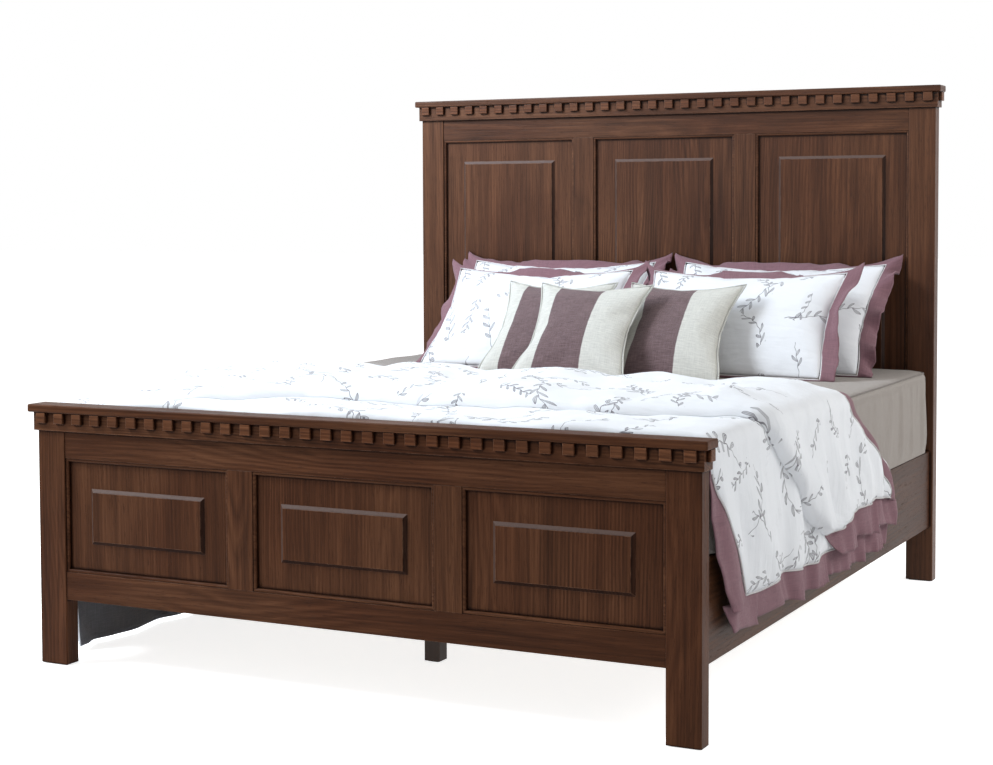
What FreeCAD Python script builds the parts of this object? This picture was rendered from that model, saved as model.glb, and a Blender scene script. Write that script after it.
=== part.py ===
import FreeCAD, Part
import math
import os

# Panel bed with a dentil cornice, dressed with mattress, duvet and pillows.
# Millimetres.  +Z is up, the footboard stands at -Y and the headboard at +Y.
# The origin is on the floor, in the middle of the bed's bounding box.
# Both boards show their face towards -Y.

os.makedirs("parts", exist_ok=True)

# ---------------------------------------------------------------- bed frame
frame_width = 1860.0             # over the posts' outer faces
side_rail_length = 2050.0        # between the foot posts and the head posts
headboard_post_height = 1519.0   # floor to the underside of the frieze
footboard_post_height = 622.0

post_width = 86.0
post_depth = 48.0
post_edge_radius = 3.0
glide_thickness = 3.0
glide_inset = 8.0

# Cornice: frieze board, dentil blocks hanging under a cap board
frieze_height = 48.0
frieze_overhang = 8.0            # past the posts' front and outer faces
frieze_edge_radius = 1.5
dentil_width = 29.0
dentil_height = 28.0
dentil_depth = 10.0
dentil_chamfer = 1.2
dentils_per_board = 32
dentil_end_margin = 15.5         # frieze end to the first block
cap_thickness = 21.0
cap_overhang = 20.0              # past the posts' front and outer faces
cap_edge_radius = 4.5

# Frame-and-panel work between the posts
member_thickness = 28.0          # rails and mullions
member_setback = 3.0             # behind the posts' front faces
member_edge_radius = 1.0
top_rail_height = 72.0
footboard_bottom_rail_height = 74.0
footboard_underside = 176.0
headboard_bottom_rail_height = 130.0
headboard_underside = 290.0
mullion_width = 75.0
rail_tenon_length = 24.0
rail_tenon_thickness = 12.0
rail_tenon_shoulder = 10.0
groove_width = 10.0
groove_depth = 10.0
panel_expansion_gap = 2.0        # left in the groove for the wood to move
fit_clearance = 0.2              # tenons and panel edges in their slots
panel_setback = 12.0             # panel face behind the members' front
field_margin = 77.0              # panel opening to the foot of the bevel
field_bevel_width = 9.0
field_bevel_rise = 6.0
field_step = 2.0                 # small square step above the bevel
bead_width = 8.0
bead_setback = 2.0               # behind the members' front
bead_radius = 5.0

# Tenons on the posts' tops that hold the frieze
post_tenon_width = 50.0
post_tenon_thickness = 16.0
post_tenon_length = 30.0
mortise_end_gap = 1.0

# Side rails, bed hooks, slats
side_rail_height = 245.0
side_rail_thickness = 26.0
side_rail_underside = 176.0
side_rail_setback = 11.0         # behind the posts' outer faces
side_rail_edge_radius = 3.0
hook_plate_width = 16.0
hook_plate_height = 150.0
hook_plate_thickness = 3.0
hook_thickness = 3.0
hook_reach = 13.0
hook_height = 26.0
hook_drop = 9.0                  # how far a hook hangs over its plate
hook_spacing = 70.0
hook_slot_clearance = 0.5
hook_pocket_clearance = 2.0
cleat_width = 25.0
cleat_height = 35.0
cleat_end_gap = 30.0
slat_count = 14
slat_width = 70.0
slat_thickness = 20.0
slat_side_gap = 4.0
slat_end_margin = 30.0
slat_top_drop = 45.0             # below the side rails' top edge

# Centre beam on brackets and legs
beam_width = 60.0
beam_height = 40.0
beam_end_gap = 5.0
bracket_width = 50.0
bracket_thickness = 4.0
bracket_shelf_depth = 40.0
bracket_plate_margin = 28.0      # the plate stops short of its rail's edges
centre_leg_size = 45.0
centre_leg_spacing = 583.0
centre_leg_chamfer = 2.0
centre_leg_count = 3

# ----------------------------------------------------------------- bedding
mattress_thickness = 304.0
mattress_corner_radius = 60.0
mattress_top_bevel = 12.0
mattress_flare = 22.0            # height over which it widens above the rails
mattress_end_gap = 8.0           # to the boards
mattress_rail_gap = 4.0          # lower part, inside the side rails
mattress_overhang_gap = 5.0      # upper part, above the side rails
sheet_thickness = 1.2
sheet_skirt = 12.0               # how far the sheet reaches below the rails' top
seat_gap = 0.3                   # between soft pieces at rest

rear_sham_width = 780.0
rear_sham_height = 520.0
rear_sham_lean = 45.0            # degrees from upright
rear_sham_gap = 10.0             # between the pair
rear_sham_shift = 45.0           # the pair's middle, to the right
front_sham_width = 735.0         # the flanges overlap where the two meet
front_sham_height = 475.0        # the top flange is turned back
front_sham_lean = 51.0
front_sham_gap = 2.0
front_sham_shift = 31.5
sham_thickness = 130.0
sham_flange = 45.0
sham_flange_thickness = 4.0
throw_size = 380.0
throw_thickness = 100.0
throw_seam_thickness = 5.0
throw_lean = 42.0
side_throw_spread = 214.5        # middle of a side throw from their common middle
side_throw_shift = 57.5
middle_throw_shift = 18.0
full_nest = 1.0                  # share of the thickness kept between two rows
side_throw_nest = 0.95           # throws meet the shams beside their crowns
middle_throw_nest = 0.95
edge_draw = 9.0                  # how far the seams pull in at mid-edge
section_places = (-1.0, -0.9, -0.68, -0.36, 0.0, 0.36, 0.68, 0.9, 1.0)
crown_power = 2.4                # higher keeps a cushion fuller towards its ends
crown_flats = 7                  # flats that stand for a cushion's curve
end_fullness = 1.3               # of the seam's thickness, at a cushion's two ends

duvet_side_gap = 3.0             # to the mattress and the side rails
duvet_board_gap = 6.0            # to the footboard
duvet_pillow_gap = 80.0          # head edge to the middle throw pillow
duvet_skin = 12.0                # thickness of the parts that hang
duvet_shoulder_radius = 22.0
shoulder_flat = 0.2              # of that radius, where two flats stand for it
duvet_foot_loft = 22.0           # thickness over the mattress, foot part
duvet_head_loft = 62.0           # where the head part is folded over
duvet_fold_place = 345.0         # footboard posts to the front of the fold
duvet_edge_loft = 26.0           # at the head edge, where it thins again
duvet_thin_run = 240.0           # from full loft down to the head edge
duvet_crest = 0.16               # rise of the middle over the sides, per loft
duvet_hem_height = 235.0         # right side, above the floor
duvet_left_hem_height = 10.0
foot_edge_drop = 70.0            # mattress top down to where the foot edge slants
duvet_foot_slant = 98.0          # lower foot corner swings back
duvet_head_slant = 390.0         # lower head corner reaches on
head_corner_drop = 45.0          # side rails' top down to that corner
head_corner_round = 50.0
duvet_wave_depth = 7.0
duvet_wave_length = 165.0
duvet_station_step = 41.25
flap_thickness = 5.0
flap_top_drop = 40.0             # mattress top down to the flap's upper edge
flap_hem_height = 285.0
flap_slant = ((10.0, 0.0), (320.0, 0.6), (520.0, 0.84), (640.0, 1.0))
flap_end_inset = 20.0

# ------------------------------------------------------------ shared places
cap_width = frame_width + 2 * cap_overhang
bed_length = cap_overhang + post_depth + side_rail_length + post_depth
foot_face = -bed_length / 2 + cap_overhang
foot_back = foot_face + post_depth
head_face = foot_back + side_rail_length
half_width = frame_width / 2
post_inner = half_width - post_width
rail_outer = half_width - side_rail_setback
rail_inner = rail_outer - side_rail_thickness
rail_top = side_rail_underside + side_rail_height
slat_top = rail_top - slat_top_drop
slat_bottom = slat_top - slat_thickness
beam_bottom = slat_bottom - beam_height
mattress_top = slat_top + mattress_thickness
deck_top = mattress_top + sheet_thickness


def vec(x, y, z):
    return FreeCAD.Vector(x, y, z)


def box(x0, x1, y0, y1, z0, z1):
    return Part.makeBox(x1 - x0, y1 - y0, z1 - z0, vec(x0, y0, z0))


def prism(points, sweep):
    """A closed outline of points, swept along a vector."""
    wire = Part.makePolygon(list(points) + [points[0]])
    return Part.Face(wire).extrude(sweep)


def edges_along(shape, axis):
    """Straight edges of a shape that run along one axis."""
    found = []
    for edge in shape.Edges:
        run = edge.Vertexes[-1].Point - edge.Vertexes[0].Point
        if run.Length > 0 and abs(run.dot(axis)) > 0.999 * run.Length:
            found.append(edge)
    return found


def round_edges(shape, axis, radius):
    return shape.makeFillet(radius, edges_along(shape, axis))


def mirrored(shape):
    return shape.mirror(vec(0, 0, 0), vec(1, 0, 0))


def write(name, shapes):
    """One file for each sub-part; several solids make one group."""
    if not isinstance(shapes, list):
        shapes = [shapes]
    solids = [solid for shape in shapes for solid in shape.Solids]
    joined = solids[0] if len(solids) == 1 else Part.makeCompound(solids)
    joined.exportStep("parts/" + name + ".step")


# ------------------------------------------------------- boards and cornice
class Board:
    """Places that the pieces of one panelled board share."""

    def __init__(self, name, face, post_height, rail_z, rail_height):
        self.name = name
        self.face = face
        self.post_height = post_height
        self.rail_z = rail_z
        self.rail_height = rail_height
        self.open_bottom = rail_z + rail_height
        self.open_top = post_height - top_rail_height
        self.member_face = face + member_setback
        self.member_back = self.member_face + member_thickness
        self.panel_face = self.member_face + panel_setback
        self.back = face + post_depth
        self.open_width = (2 * post_inner - 2 * mullion_width) / 3
        self.frieze_top = post_height + frieze_height

    def openings(self):
        """Left and right edge of each of the three panel openings."""
        step = self.open_width + mullion_width
        starts = [-post_inner + i * step for i in range(3)]
        return [(x, x + self.open_width) for x in starts]

    def mullion_starts(self):
        return [right for left, right in self.openings()[:2]]


def tenon(board, x0, x1, z0, z1, play):
    """Rail tenon, or with play its mortise, centred in the member."""
    middle = board.member_face + member_thickness / 2
    half = rail_tenon_thickness / 2 + play
    return box(x0, x1, middle - half, middle + half, z0 - play, z1 + play)


def rail_tenon_span(z0, z1, groove_above):
    low = z0 + (rail_tenon_shoulder if groove_above else groove_depth)
    high = z1 - (groove_depth if groove_above else rail_tenon_shoulder)
    return low, high


def groove(board, x0, x1, z0, z1):
    back = board.panel_face - fit_clearance
    return box(x0, x1, back, back + groove_width, z0, z1)


def post(board):
    """Right post: rail mortises, panel groove and a tenon on its top."""
    x0, x1 = post_inner, half_width
    body = box(x0, x1, board.face, board.back, glide_thickness, board.post_height)
    body = round_edges(body, vec(0, 0, 1), post_edge_radius)
    deep = rail_tenon_length + fit_clearance
    spans = [
        rail_tenon_span(board.rail_z, board.open_bottom, True),
        rail_tenon_span(board.open_top, board.post_height, False),
    ]
    for low, high in spans:
        body = body.cut(tenon(board, x0, x0 + deep, low, high, fit_clearance))
    low, high = board.open_bottom - groove_depth, board.open_top + groove_depth
    body = body.cut(groove(board, x0, x0 + groove_depth, low, high))
    return body.fuse(post_tenon(board, 0.0))


def post_tenon(board, play):
    """Tenon on the right post's top, or with play its mortise in the frieze."""
    x = post_inner + post_width / 2
    y = board.face + post_depth / 2
    w, d = post_tenon_width / 2 + play, post_tenon_thickness / 2 + play
    end = mortise_end_gap if play else 0.0
    top = board.post_height + post_tenon_length + end
    return box(x - w, x + w, y - d, y + d, board.post_height, top)


def rail(board, z0, z1, groove_above):
    """Top or bottom rail with a tenon at each end and the panel groove."""
    x = post_inner
    body = box(-x, x, board.member_face, board.member_back, z0, z1)
    body = round_edges(body, vec(1, 0, 0), member_edge_radius)
    low, high = rail_tenon_span(z0, z1, groove_above)
    body = body.fuse(tenon(board, -x - rail_tenon_length, x + rail_tenon_length, low, high, 0.0))
    if groove_above:
        body = body.cut(groove(board, -x, x, z1 - groove_depth, z1))
    else:
        body = body.cut(groove(board, -x, x, z0, z0 + groove_depth))
    return body.removeSplitter()


def mullion(board, x0):
    """Upright between two panels, its stub tenons in the rails' grooves."""
    x1 = x0 + mullion_width
    body = box(x0, x1, board.member_face, board.member_back, board.open_bottom, board.open_top)
    body = round_edges(body, vec(0, 0, 1), member_edge_radius)
    reach = groove_depth - panel_expansion_gap
    stub = box(
        x0 + groove_depth, x1 - groove_depth,
        board.panel_face, board.panel_face + groove_width - 2 * fit_clearance,
        board.open_bottom - reach, board.open_top + reach,
    )
    body = body.fuse(stub)
    for left in (x0, x1 - groove_depth):
        cut = groove(board, left, left + groove_depth, board.open_bottom, board.open_top)
        body = body.cut(cut)
    return body


def panel(board, left, right):
    """Raised panel: thin edge in the grooves, bevelled centre field."""
    reach = groove_depth - panel_expansion_gap
    face = board.panel_face
    thickness = groove_width - 2 * fit_clearance
    z0, z1 = board.open_bottom, board.open_top
    body = box(left - reach, right + reach, face, face + thickness, z0 - reach, z1 + reach)
    foot = field_margin
    top = field_margin + field_bevel_width

    def outline(inset, y):
        return Part.makePolygon([
            vec(left + inset, y, z0 + inset),
            vec(right - inset, y, z0 + inset),
            vec(right - inset, y, z1 - inset),
            vec(left + inset, y, z1 - inset),
            vec(left + inset, y, z0 + inset),
        ])

    crest = face - field_bevel_rise
    bevel = Part.makeLoft([outline(foot, face), outline(top, crest)], True, True)
    field = box(left + top, right - top, crest - field_step, face, z0 + top, z1 - top)
    return body.fuse(bevel).fuse(field).removeSplitter()


def bead_strip(board, length):
    """Rounded bead along +X with mitred ends, its outer edge on z = 0."""
    y0 = board.member_face + bead_setback
    y1 = board.panel_face
    bend = bead_radius * (1 - math.sqrt(0.5))
    section = Part.Wire([
        Part.LineSegment(vec(0, y1, 0), vec(0, y0, 0)).toShape(),
        Part.LineSegment(vec(0, y0, 0), vec(0, y0, bead_width - bead_radius)).toShape(),
        Part.Arc(
            vec(0, y0, bead_width - bead_radius),
            vec(0, y0 + bend, bead_width - bend),
            vec(0, y0 + bead_radius, bead_width),
        ).toShape(),
        Part.LineSegment(vec(0, y0 + bead_radius, bead_width), vec(0, y1, bead_width)).toShape(),
        Part.LineSegment(vec(0, y1, bead_width), vec(0, y1, 0)).toShape(),
    ])
    strip = Part.Face(section).extrude(vec(length, 0, 0))
    deep = vec(0, y1 - y0, 0)
    for end, inward in ((0.0, bead_width), (length, -bead_width)):
        corner = [vec(end, y0, 0), vec(end + inward, y0, bead_width), vec(end, y0, bead_width)]
        strip = strip.cut(prism(corner, deep))
    return strip


def beads(board):
    """Four mitred beads round each panel."""
    pieces = []
    height = board.open_top - board.open_bottom
    for left, right in board.openings():
        middle = vec((left + right) / 2, 0, (board.open_bottom + board.open_top) / 2)
        width = right - left
        for turn, run, across in ((0, width, height), (90, height, width),
                                  (180, width, height), (270, height, width)):
            strip = bead_strip(board, run)
            strip.translate(vec(-run / 2, 0, -across / 2))
            strip.rotate(vec(0, 0, 0), vec(0, 1, 0), turn)
            strip.translate(middle)
            pieces.append(strip)
    return pieces


def frieze(board):
    half = half_width + frieze_overhang
    body = box(-half, half, board.face - frieze_overhang, board.back,
               board.post_height, board.frieze_top)
    body = round_edges(body, vec(0, 0, 1), frieze_edge_radius)
    mortise = post_tenon(board, fit_clearance)
    return body.cut(mortise).cut(mirrored(mortise))


def dentil_block(board):
    """One block on the frieze's front, centred on x = 0."""
    back = board.face - frieze_overhang
    front = back - dentil_depth
    z1 = board.frieze_top
    z0 = z1 - dentil_height
    half = dentil_width / 2

    def outline(inset, y):
        return Part.makePolygon([
            vec(-half + inset, y, z0 + inset), vec(half - inset, y, z0 + inset),
            vec(half - inset, y, z1 - inset), vec(-half + inset, y, z1 - inset),
            vec(-half + inset, y, z0 + inset),
        ])

    rings = [outline(0, back), outline(0, front + dentil_chamfer), outline(dentil_chamfer, front)]
    return Part.makeLoft(rings, True, True)


def dentils(board):
    """The row of blocks along the front and one block on each return."""
    block = dentil_block(board)
    first = -half_width - frieze_overhang + dentil_end_margin + dentil_width / 2
    pitch = -2 * first / (dentils_per_board - 1)
    row = []
    for i in range(dentils_per_board):
        copy = block.copy()
        copy.translate(vec(first + i * pitch, 0, 0))
        row.append(copy)
    frieze_front = board.face - frieze_overhang
    side = block.copy()
    side.translate(vec(0, -frieze_front, 0))
    side.rotate(vec(0, 0, 0), vec(0, 0, 1), 90)
    side.translate(vec(half_width + frieze_overhang, board.face + post_depth / 2, 0))
    return row + [side, mirrored(side)]


def cap(board):
    half = half_width + cap_overhang
    z0 = board.frieze_top
    body = box(-half, half, board.face - cap_overhang, board.back, z0, z0 + cap_thickness)
    rounded = []
    for edge in body.Edges:
        middle = edge.CenterOfMass
        if middle.y < board.back - 1:
            rounded.append(edge)
    return body.makeFillet(cap_edge_radius, rounded)


def glide(x, y, width, depth):
    w = width / 2 - glide_inset
    d = depth / 2 - glide_inset
    return box(x - w, x + w, y - d, y + d, 0, glide_thickness)


# ------------------------------------------------------------ bed rail hooks
def hook_levels():
    middle = side_rail_underside + side_rail_height / 2
    return [middle - hook_spacing / 2, middle + hook_spacing / 2]


def hook_axis():
    return (rail_outer + rail_inner) / 2


def plate_span():
    middle = side_rail_underside + side_rail_height / 2
    return middle - hook_plate_height / 2, middle + hook_plate_height / 2


def plate_blank(y0, y1, play):
    x = hook_axis()
    low, high = plate_span()
    half = hook_plate_width / 2 + play
    return box(x - half, x + half, y0, y1, low - play, high + play)


def slot_plate(face, direction):
    """Slotted plate let into a post; face is the post's inner face, the
    direction points into the post."""
    y = sorted((face, face + direction * hook_plate_thickness))
    plate = plate_blank(y[0], y[1], 0.0)
    half = hook_thickness / 2 + hook_slot_clearance
    x = hook_axis()
    for z in hook_levels():
        low = z - hook_height / 2 - hook_drop - hook_slot_clearance
        high = z + hook_height / 2 + hook_slot_clearance
        plate = plate.cut(box(x - half, x + half, y[0] - 1, y[1] + 1, low, high))
    return plate


def post_pocket(face, direction):
    """What is cut from a post for the slot plate and the hooks."""
    inner = face + direction * (hook_plate_thickness + fit_clearance / 2)
    y = sorted((face - direction, inner))
    pocket = plate_blank(y[0], y[1], fit_clearance / 2)
    x = hook_axis()
    half = hook_thickness / 2 + hook_pocket_clearance
    deep = face + direction * (hook_reach + hook_pocket_clearance)
    y = sorted((face, deep))
    for z in hook_levels():
        low = z - hook_height / 2 - hook_drop - hook_pocket_clearance
        high = z + hook_height / 2 + hook_pocket_clearance
        pocket = pocket.fuse(box(x - half, x + half, y[0], y[1], low, high))
    return pocket


def hook_plate(face, direction):
    """Plate let into a rail's end, with two hooks that hang in the slots.
    The direction points from the rail into the post."""
    y = sorted((face, face - direction * hook_plate_thickness))
    plate = plate_blank(y[0], y[1], 0.0)
    x0 = hook_axis() - hook_thickness / 2
    near = face - direction * hook_plate_thickness
    throat = face + direction * (hook_plate_thickness + hook_slot_clearance)
    far = face + direction * hook_reach
    for z in hook_levels():
        top = z + hook_height / 2
        low = z - hook_height / 2
        outline = [
            vec(x0, near, top), vec(x0, far, top), vec(x0, far, low - hook_drop / 2),
            vec(x0, throat, low - hook_drop / 2), vec(x0, throat, low), vec(x0, near, low),
        ]
        plate = plate.fuse(prism(outline, vec(hook_thickness, 0, 0)))
    return plate


def rail_pocket(face, direction):
    inner = face - direction * (hook_plate_thickness + fit_clearance / 2)
    y = sorted((face + direction, inner))
    return plate_blank(y[0], y[1], fit_clearance / 2)


def corners():
    """Meeting face of post and rail, and the direction into the post."""
    return [(foot_back, -1), (head_face, 1)]


# ------------------------------------------------------ side rails and slats
def side_rail():
    body = box(rail_inner, rail_outer, foot_back, head_face, side_rail_underside, rail_top)
    body = round_edges(body, vec(0, 1, 0), side_rail_edge_radius)
    for face, direction in corners():
        body = body.cut(rail_pocket(face, direction))
    return body


def cleat():
    z0 = slat_bottom - cleat_height
    return box(rail_inner - cleat_width, rail_inner,
               foot_back + cleat_end_gap, head_face - cleat_end_gap, z0, slat_bottom)


def slat_centres():
    first = foot_back + cleat_end_gap + slat_end_margin + slat_width / 2
    last = head_face - cleat_end_gap - slat_end_margin - slat_width / 2
    step = (last - first) / (slat_count - 1)
    return [first + i * step for i in range(slat_count)]


def slat(y):
    half = rail_inner - slat_side_gap
    return box(-half, half, y - slat_width / 2, y + slat_width / 2, slat_bottom, slat_top)


def beam(footboard, headboard):
    half = beam_width / 2
    y0 = footboard.member_back + bracket_thickness + beam_end_gap
    y1 = headboard.member_face - bracket_thickness - beam_end_gap
    return box(-half, half, y0, y1, beam_bottom, slat_bottom)


def centre_leg_places():
    middle = (centre_leg_count - 1) / 2
    return [(i - middle) * centre_leg_spacing for i in range(centre_leg_count)]


def centre_leg(y):
    half = centre_leg_size / 2
    body = box(-half, half, y - half, y + half, glide_thickness, beam_bottom)
    return body.makeChamfer(centre_leg_chamfer, edges_along(body, vec(0, 0, 1)))


def bracket_wall(board, toward):
    return board.member_back if toward > 0 else board.member_face


def beam_bracket(board, toward):
    """Angle bracket on a bottom rail; the beam's end rests on its shelf."""
    wall = bracket_wall(board, toward)
    half = bracket_width / 2
    low = min(board.rail_z + bracket_plate_margin, beam_bottom)
    high = max(board.open_bottom - bracket_plate_margin, beam_bottom)
    low = max(low, board.rail_z)
    y = sorted((wall, wall + toward * bracket_thickness))
    plate = box(-half, half, y[0], y[1], low, high)
    y = sorted((wall, wall + toward * (bracket_thickness + bracket_shelf_depth)))
    shelf = box(-half, half, y[0], y[1], beam_bottom - bracket_thickness, beam_bottom)
    return plate.fuse(shelf).removeSplitter()


# ------------------------------------------------------------------ bedding
def mattress_ends():
    return foot_back + mattress_end_gap, head_face - mattress_end_gap


def mattress_block(grow):
    """Mattress: a narrow lower part between the side rails, a full upper
    part that has settled out over them.  Grow gives the sheet's outside."""
    y0, y1 = mattress_ends()
    inner = rail_inner - mattress_rail_gap + grow
    outer = rail_outer - sheet_thickness + grow
    step = rail_top + mattress_overhang_gap
    lower = box(-inner, inner, y0 - grow, y1 + grow, slat_top, step + mattress_flare)
    lower = round_edges(lower, vec(0, 0, 1), mattress_corner_radius)
    upper = box(-outer, outer, y0 - grow, y1 + grow, step - grow, mattress_top + grow)
    upper = round_edges(upper, vec(0, 0, 1), mattress_corner_radius)
    rim = [edge for edge in upper.Edges if edge.CenterOfMass.z > mattress_top + grow - 0.1]
    upper = upper.makeChamfer(mattress_top_bevel, rim)
    return upper.fuse(lower).removeSplitter()


def mattress():
    return mattress_block(0.0)


def fitted_sheet():
    """Thin shell over the top and the sides, open below."""
    y0, y1 = mattress_ends()
    shell = mattress_block(sheet_thickness).cut(mattress_block(0.0))
    low = rail_top - sheet_skirt
    under = box(-half_width, half_width, y0 - post_depth, y1 + post_depth, 0, low)
    return shell.cut(under)


def pillow_section(x, half_height, bulge, seam):
    """Points round a pillow's cross-section: two crowned sides and two seams."""
    def side(sign):
        steps = [sign * (2 * i / crown_flats - 1) for i in range(crown_flats + 1)]
        return [vec(x, -sign * (seam + (bulge - seam) * (1 - t * t)), t * half_height)
                for t in steps]
    return side(1) + side(-1)


def flat_face(points):
    return Part.Face(Part.makePolygon(points + [points[0]]))


def faceted_solid(rings):
    """Solid of flat facets through a row of rings with equal numbers of points."""
    faces = [flat_face(rings[0]), flat_face(rings[-1])]
    for near, far in zip(rings, rings[1:]):
        for i in range(len(near)):
            a, b, c, d = near[i - 1], near[i], far[i], far[i - 1]
            faces += [flat_face([a, b, c]), flat_face([a, c, d])]
    solid = Part.Solid(Part.Shell(faces))
    if solid.Volume < 0:
        solid.reverse()
    return solid


def crown(width, height, thickness, seam_thickness):
    """Crowned cushion, centred, upright, facing -Y.  Its long seams draw in
    at the middle and it thins to the seams at both ends."""
    seam = seam_thickness / 2
    sections = []
    for share in section_places:
        fullness = math.sqrt(1 - abs(share) ** crown_power)
        half_height = height / 2 - edge_draw * (1 - share * share)
        bulge = seam * end_fullness + (thickness / 2 - seam * end_fullness) * fullness
        sections.append(pillow_section(share * width / 2, half_height, bulge, seam))
    return faceted_solid(sections)


def flange_plate(width, height):
    """Flat flange of a sham; its edges draw in between the corners."""
    w, h = width / 2, height / 2
    y = -sham_flange_thickness / 2
    points = [vec(-w, y, -h), vec(w, y, -h), vec(w, y, h), vec(-w, y, h)]
    middles = [vec(0, y, -h + edge_draw), vec(w - edge_draw, y, 0),
               vec(0, y, h - edge_draw), vec(-w + edge_draw, y, 0)]
    edges = [
        Part.Arc(points[i], middles[i], points[(i + 1) % 4]).toShape() for i in range(4)
    ]
    return Part.Face(Part.Wire(edges)).extrude(vec(0, sham_flange_thickness, 0))


def sham(width, height):
    body = crown(width - 2 * sham_flange, height - 2 * sham_flange,
                 sham_thickness, sham_flange_thickness)
    return body.fuse(flange_plate(width, height))


def throw():
    return crown(throw_size, throw_size, throw_thickness, throw_seam_thickness)


def lean_back(shape, height, seam_thickness, lean, x, base_y):
    """Stand a pillow on the sheet and tip it back about its lower seam."""
    angle = math.radians(lean)
    lift = seam_thickness / 2 * math.sin(angle) + seat_gap
    placed = shape.copy()
    placed.translate(vec(0, 0, height / 2))
    placed.rotate(vec(0, 0, 0), vec(1, 0, 0), -lean)
    placed.translate(vec(x, base_y, deck_top + lift))
    return placed


def base_in_front(lean, height, thickness, behind_base, behind_lean, behind_thickness, nest):
    """Base line of a pillow that leans on the one behind it: neither its top
    seam nor its crowned back reaches the front of the other's full thickness."""
    a, b = math.radians(lean), math.radians(behind_lean)
    limit = behind_base - (behind_thickness * nest / 2 + seat_gap) / math.cos(b)
    top = limit + height * math.cos(a) * math.tan(b) - height * math.sin(a)
    back_y = height / 2 * math.sin(a) + thickness * nest / 2 * math.cos(a)
    back_z = height / 2 * math.cos(a) - thickness * nest / 2 * math.sin(a)
    middle = limit + back_z * math.tan(b) - back_y
    return min(top, middle)


def rear_sham_base():
    """The rear shams' top seams lean on the headboard."""
    angle = math.radians(rear_sham_lean)
    run = rear_sham_height * math.sin(angle) + sham_flange_thickness / 2 * math.cos(angle)
    return head_face - seat_gap - run


def front_sham_base():
    return base_in_front(front_sham_lean, front_sham_height, sham_thickness,
                         rear_sham_base(), rear_sham_lean, sham_thickness, full_nest)


def side_throw_base():
    return base_in_front(throw_lean, throw_size, throw_thickness,
                         front_sham_base(), front_sham_lean, sham_thickness, side_throw_nest)


def middle_throw_base():
    return base_in_front(throw_lean, throw_size, throw_thickness,
                         side_throw_base(), throw_lean, throw_thickness, middle_throw_nest)


def duvet_start():
    return foot_back + duvet_board_gap


def duvet_fold():
    return foot_back + duvet_fold_place


def duvet_head():
    return middle_throw_base() - duvet_pillow_gap


def duvet_loft(y):
    """Thickness over the mattress: flat foot part, a fold, a fuller head
    part that thins again towards its edge."""
    if y < duvet_fold():
        return duvet_foot_loft
    climb = min(1.0, (y - duvet_fold()) / duvet_station_step)
    thinning = min(1.0, max(0.0, (y - duvet_head() + duvet_thin_run) / duvet_thin_run))
    full = duvet_foot_loft + (duvet_head_loft - duvet_foot_loft) * climb
    return full + (duvet_edge_loft - full) * thinning


def duvet_outline(y):
    """Cross-section of the duvet: one side of its lining, then its outside.
    The drape's waves grow from the rails' top down to the hem."""
    run = y - duvet_start()
    wave = duvet_wave_depth * (0.5 - 0.5 * math.cos(2 * math.pi * run / duvet_wave_length))
    low_wave, high_wave = wave, wave / 3
    side = rail_outer + duvet_side_gap
    bed = deck_top + seat_gap
    bend = duvet_shoulder_radius
    corner = bend * shoulder_flat
    skin = duvet_skin
    loft = duvet_loft(y)
    crest = bed + loft * (1 + duvet_crest)
    hem, left_hem = duvet_hem_height, duvet_left_hem_height

    def lining(sign, low):
        return [
            (sign * (side + low_wave), low), (sign * (side + high_wave), rail_top),
            (sign * side, bed - bend), (sign * (side - corner), bed - corner),
            (sign * (side - bend / 2), bed),
        ]

    def outside(sign, low):
        return [
            (sign * (side + low_wave + skin), low), (sign * (side + high_wave + skin), rail_top),
            (sign * (side + skin), bed - bend), (sign * (side - bend / 2), bed + loft),
            (sign * (side - 4 * bend), bed + loft * (1 + duvet_crest / 2)),
        ]

    path = lining(-1, left_hem) + lining(1, hem)[::-1]
    path += outside(1, hem) + [(0, crest)] + outside(-1, left_hem)[::-1]
    points = [vec(x, y, z) for x, z in path]
    return Part.makePolygon(points + [points[0]])


def duvet():
    """Quilt over the mattress: it hangs over both side rails in soft folds,
    the head part is folded over the foot part, and a flap shows the fold."""
    start, head = duvet_start(), duvet_head()
    end = head + duvet_head_slant
    count = max(2, int(round((end - start) / duvet_station_step)))
    rings = [duvet_outline(start + i * (end - start) / count) for i in range(count + 1)]
    body = Part.makeLoft(rings, True, True)
    wide = cap_width
    across = vec(2 * wide, 0, 0)
    floor = 0.0
    slant_top = deck_top - foot_edge_drop
    foot_edge = [
        (start - 1, floor), (start - 1, slant_top), (start, slant_top),
        (start + duvet_foot_slant, duvet_hem_height), (start + duvet_foot_slant, floor),
    ]
    corner = rail_top - head_corner_drop
    high = deck_top + 3 * duvet_head_loft
    head_edge = [
        (head, high), (head, deck_top), (end, corner + head_corner_round),
        (end, corner), (end - head_corner_round, floor), (end + 1, floor), (end + 1, high),
    ]
    for edge in (foot_edge, head_edge):
        body = body.cut(prism([vec(-wide, y, z) for y, z in edge], across))
    return body.fuse(duvet_flap())


def duvet_flap():
    """The folded-over layer on the right side, outside the lower layer."""
    front, head = duvet_fold(), duvet_head()
    end = head + duvet_head_slant - flap_end_inset
    top = deck_top - flap_top_drop
    corner = rail_top - head_corner_drop
    x0 = rail_outer + duvet_side_gap + duvet_skin - 1
    outline = [(front + run, top + (flap_hem_height - top) * drop) for run, drop in flap_slant]
    outline += [(end - head_corner_round, flap_hem_height), (end, corner), (head, top)]
    points = [vec(x0, y, z) for y, z in outline]
    return prism(points, vec(duvet_wave_depth + flap_thickness, 0, 0))


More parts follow.
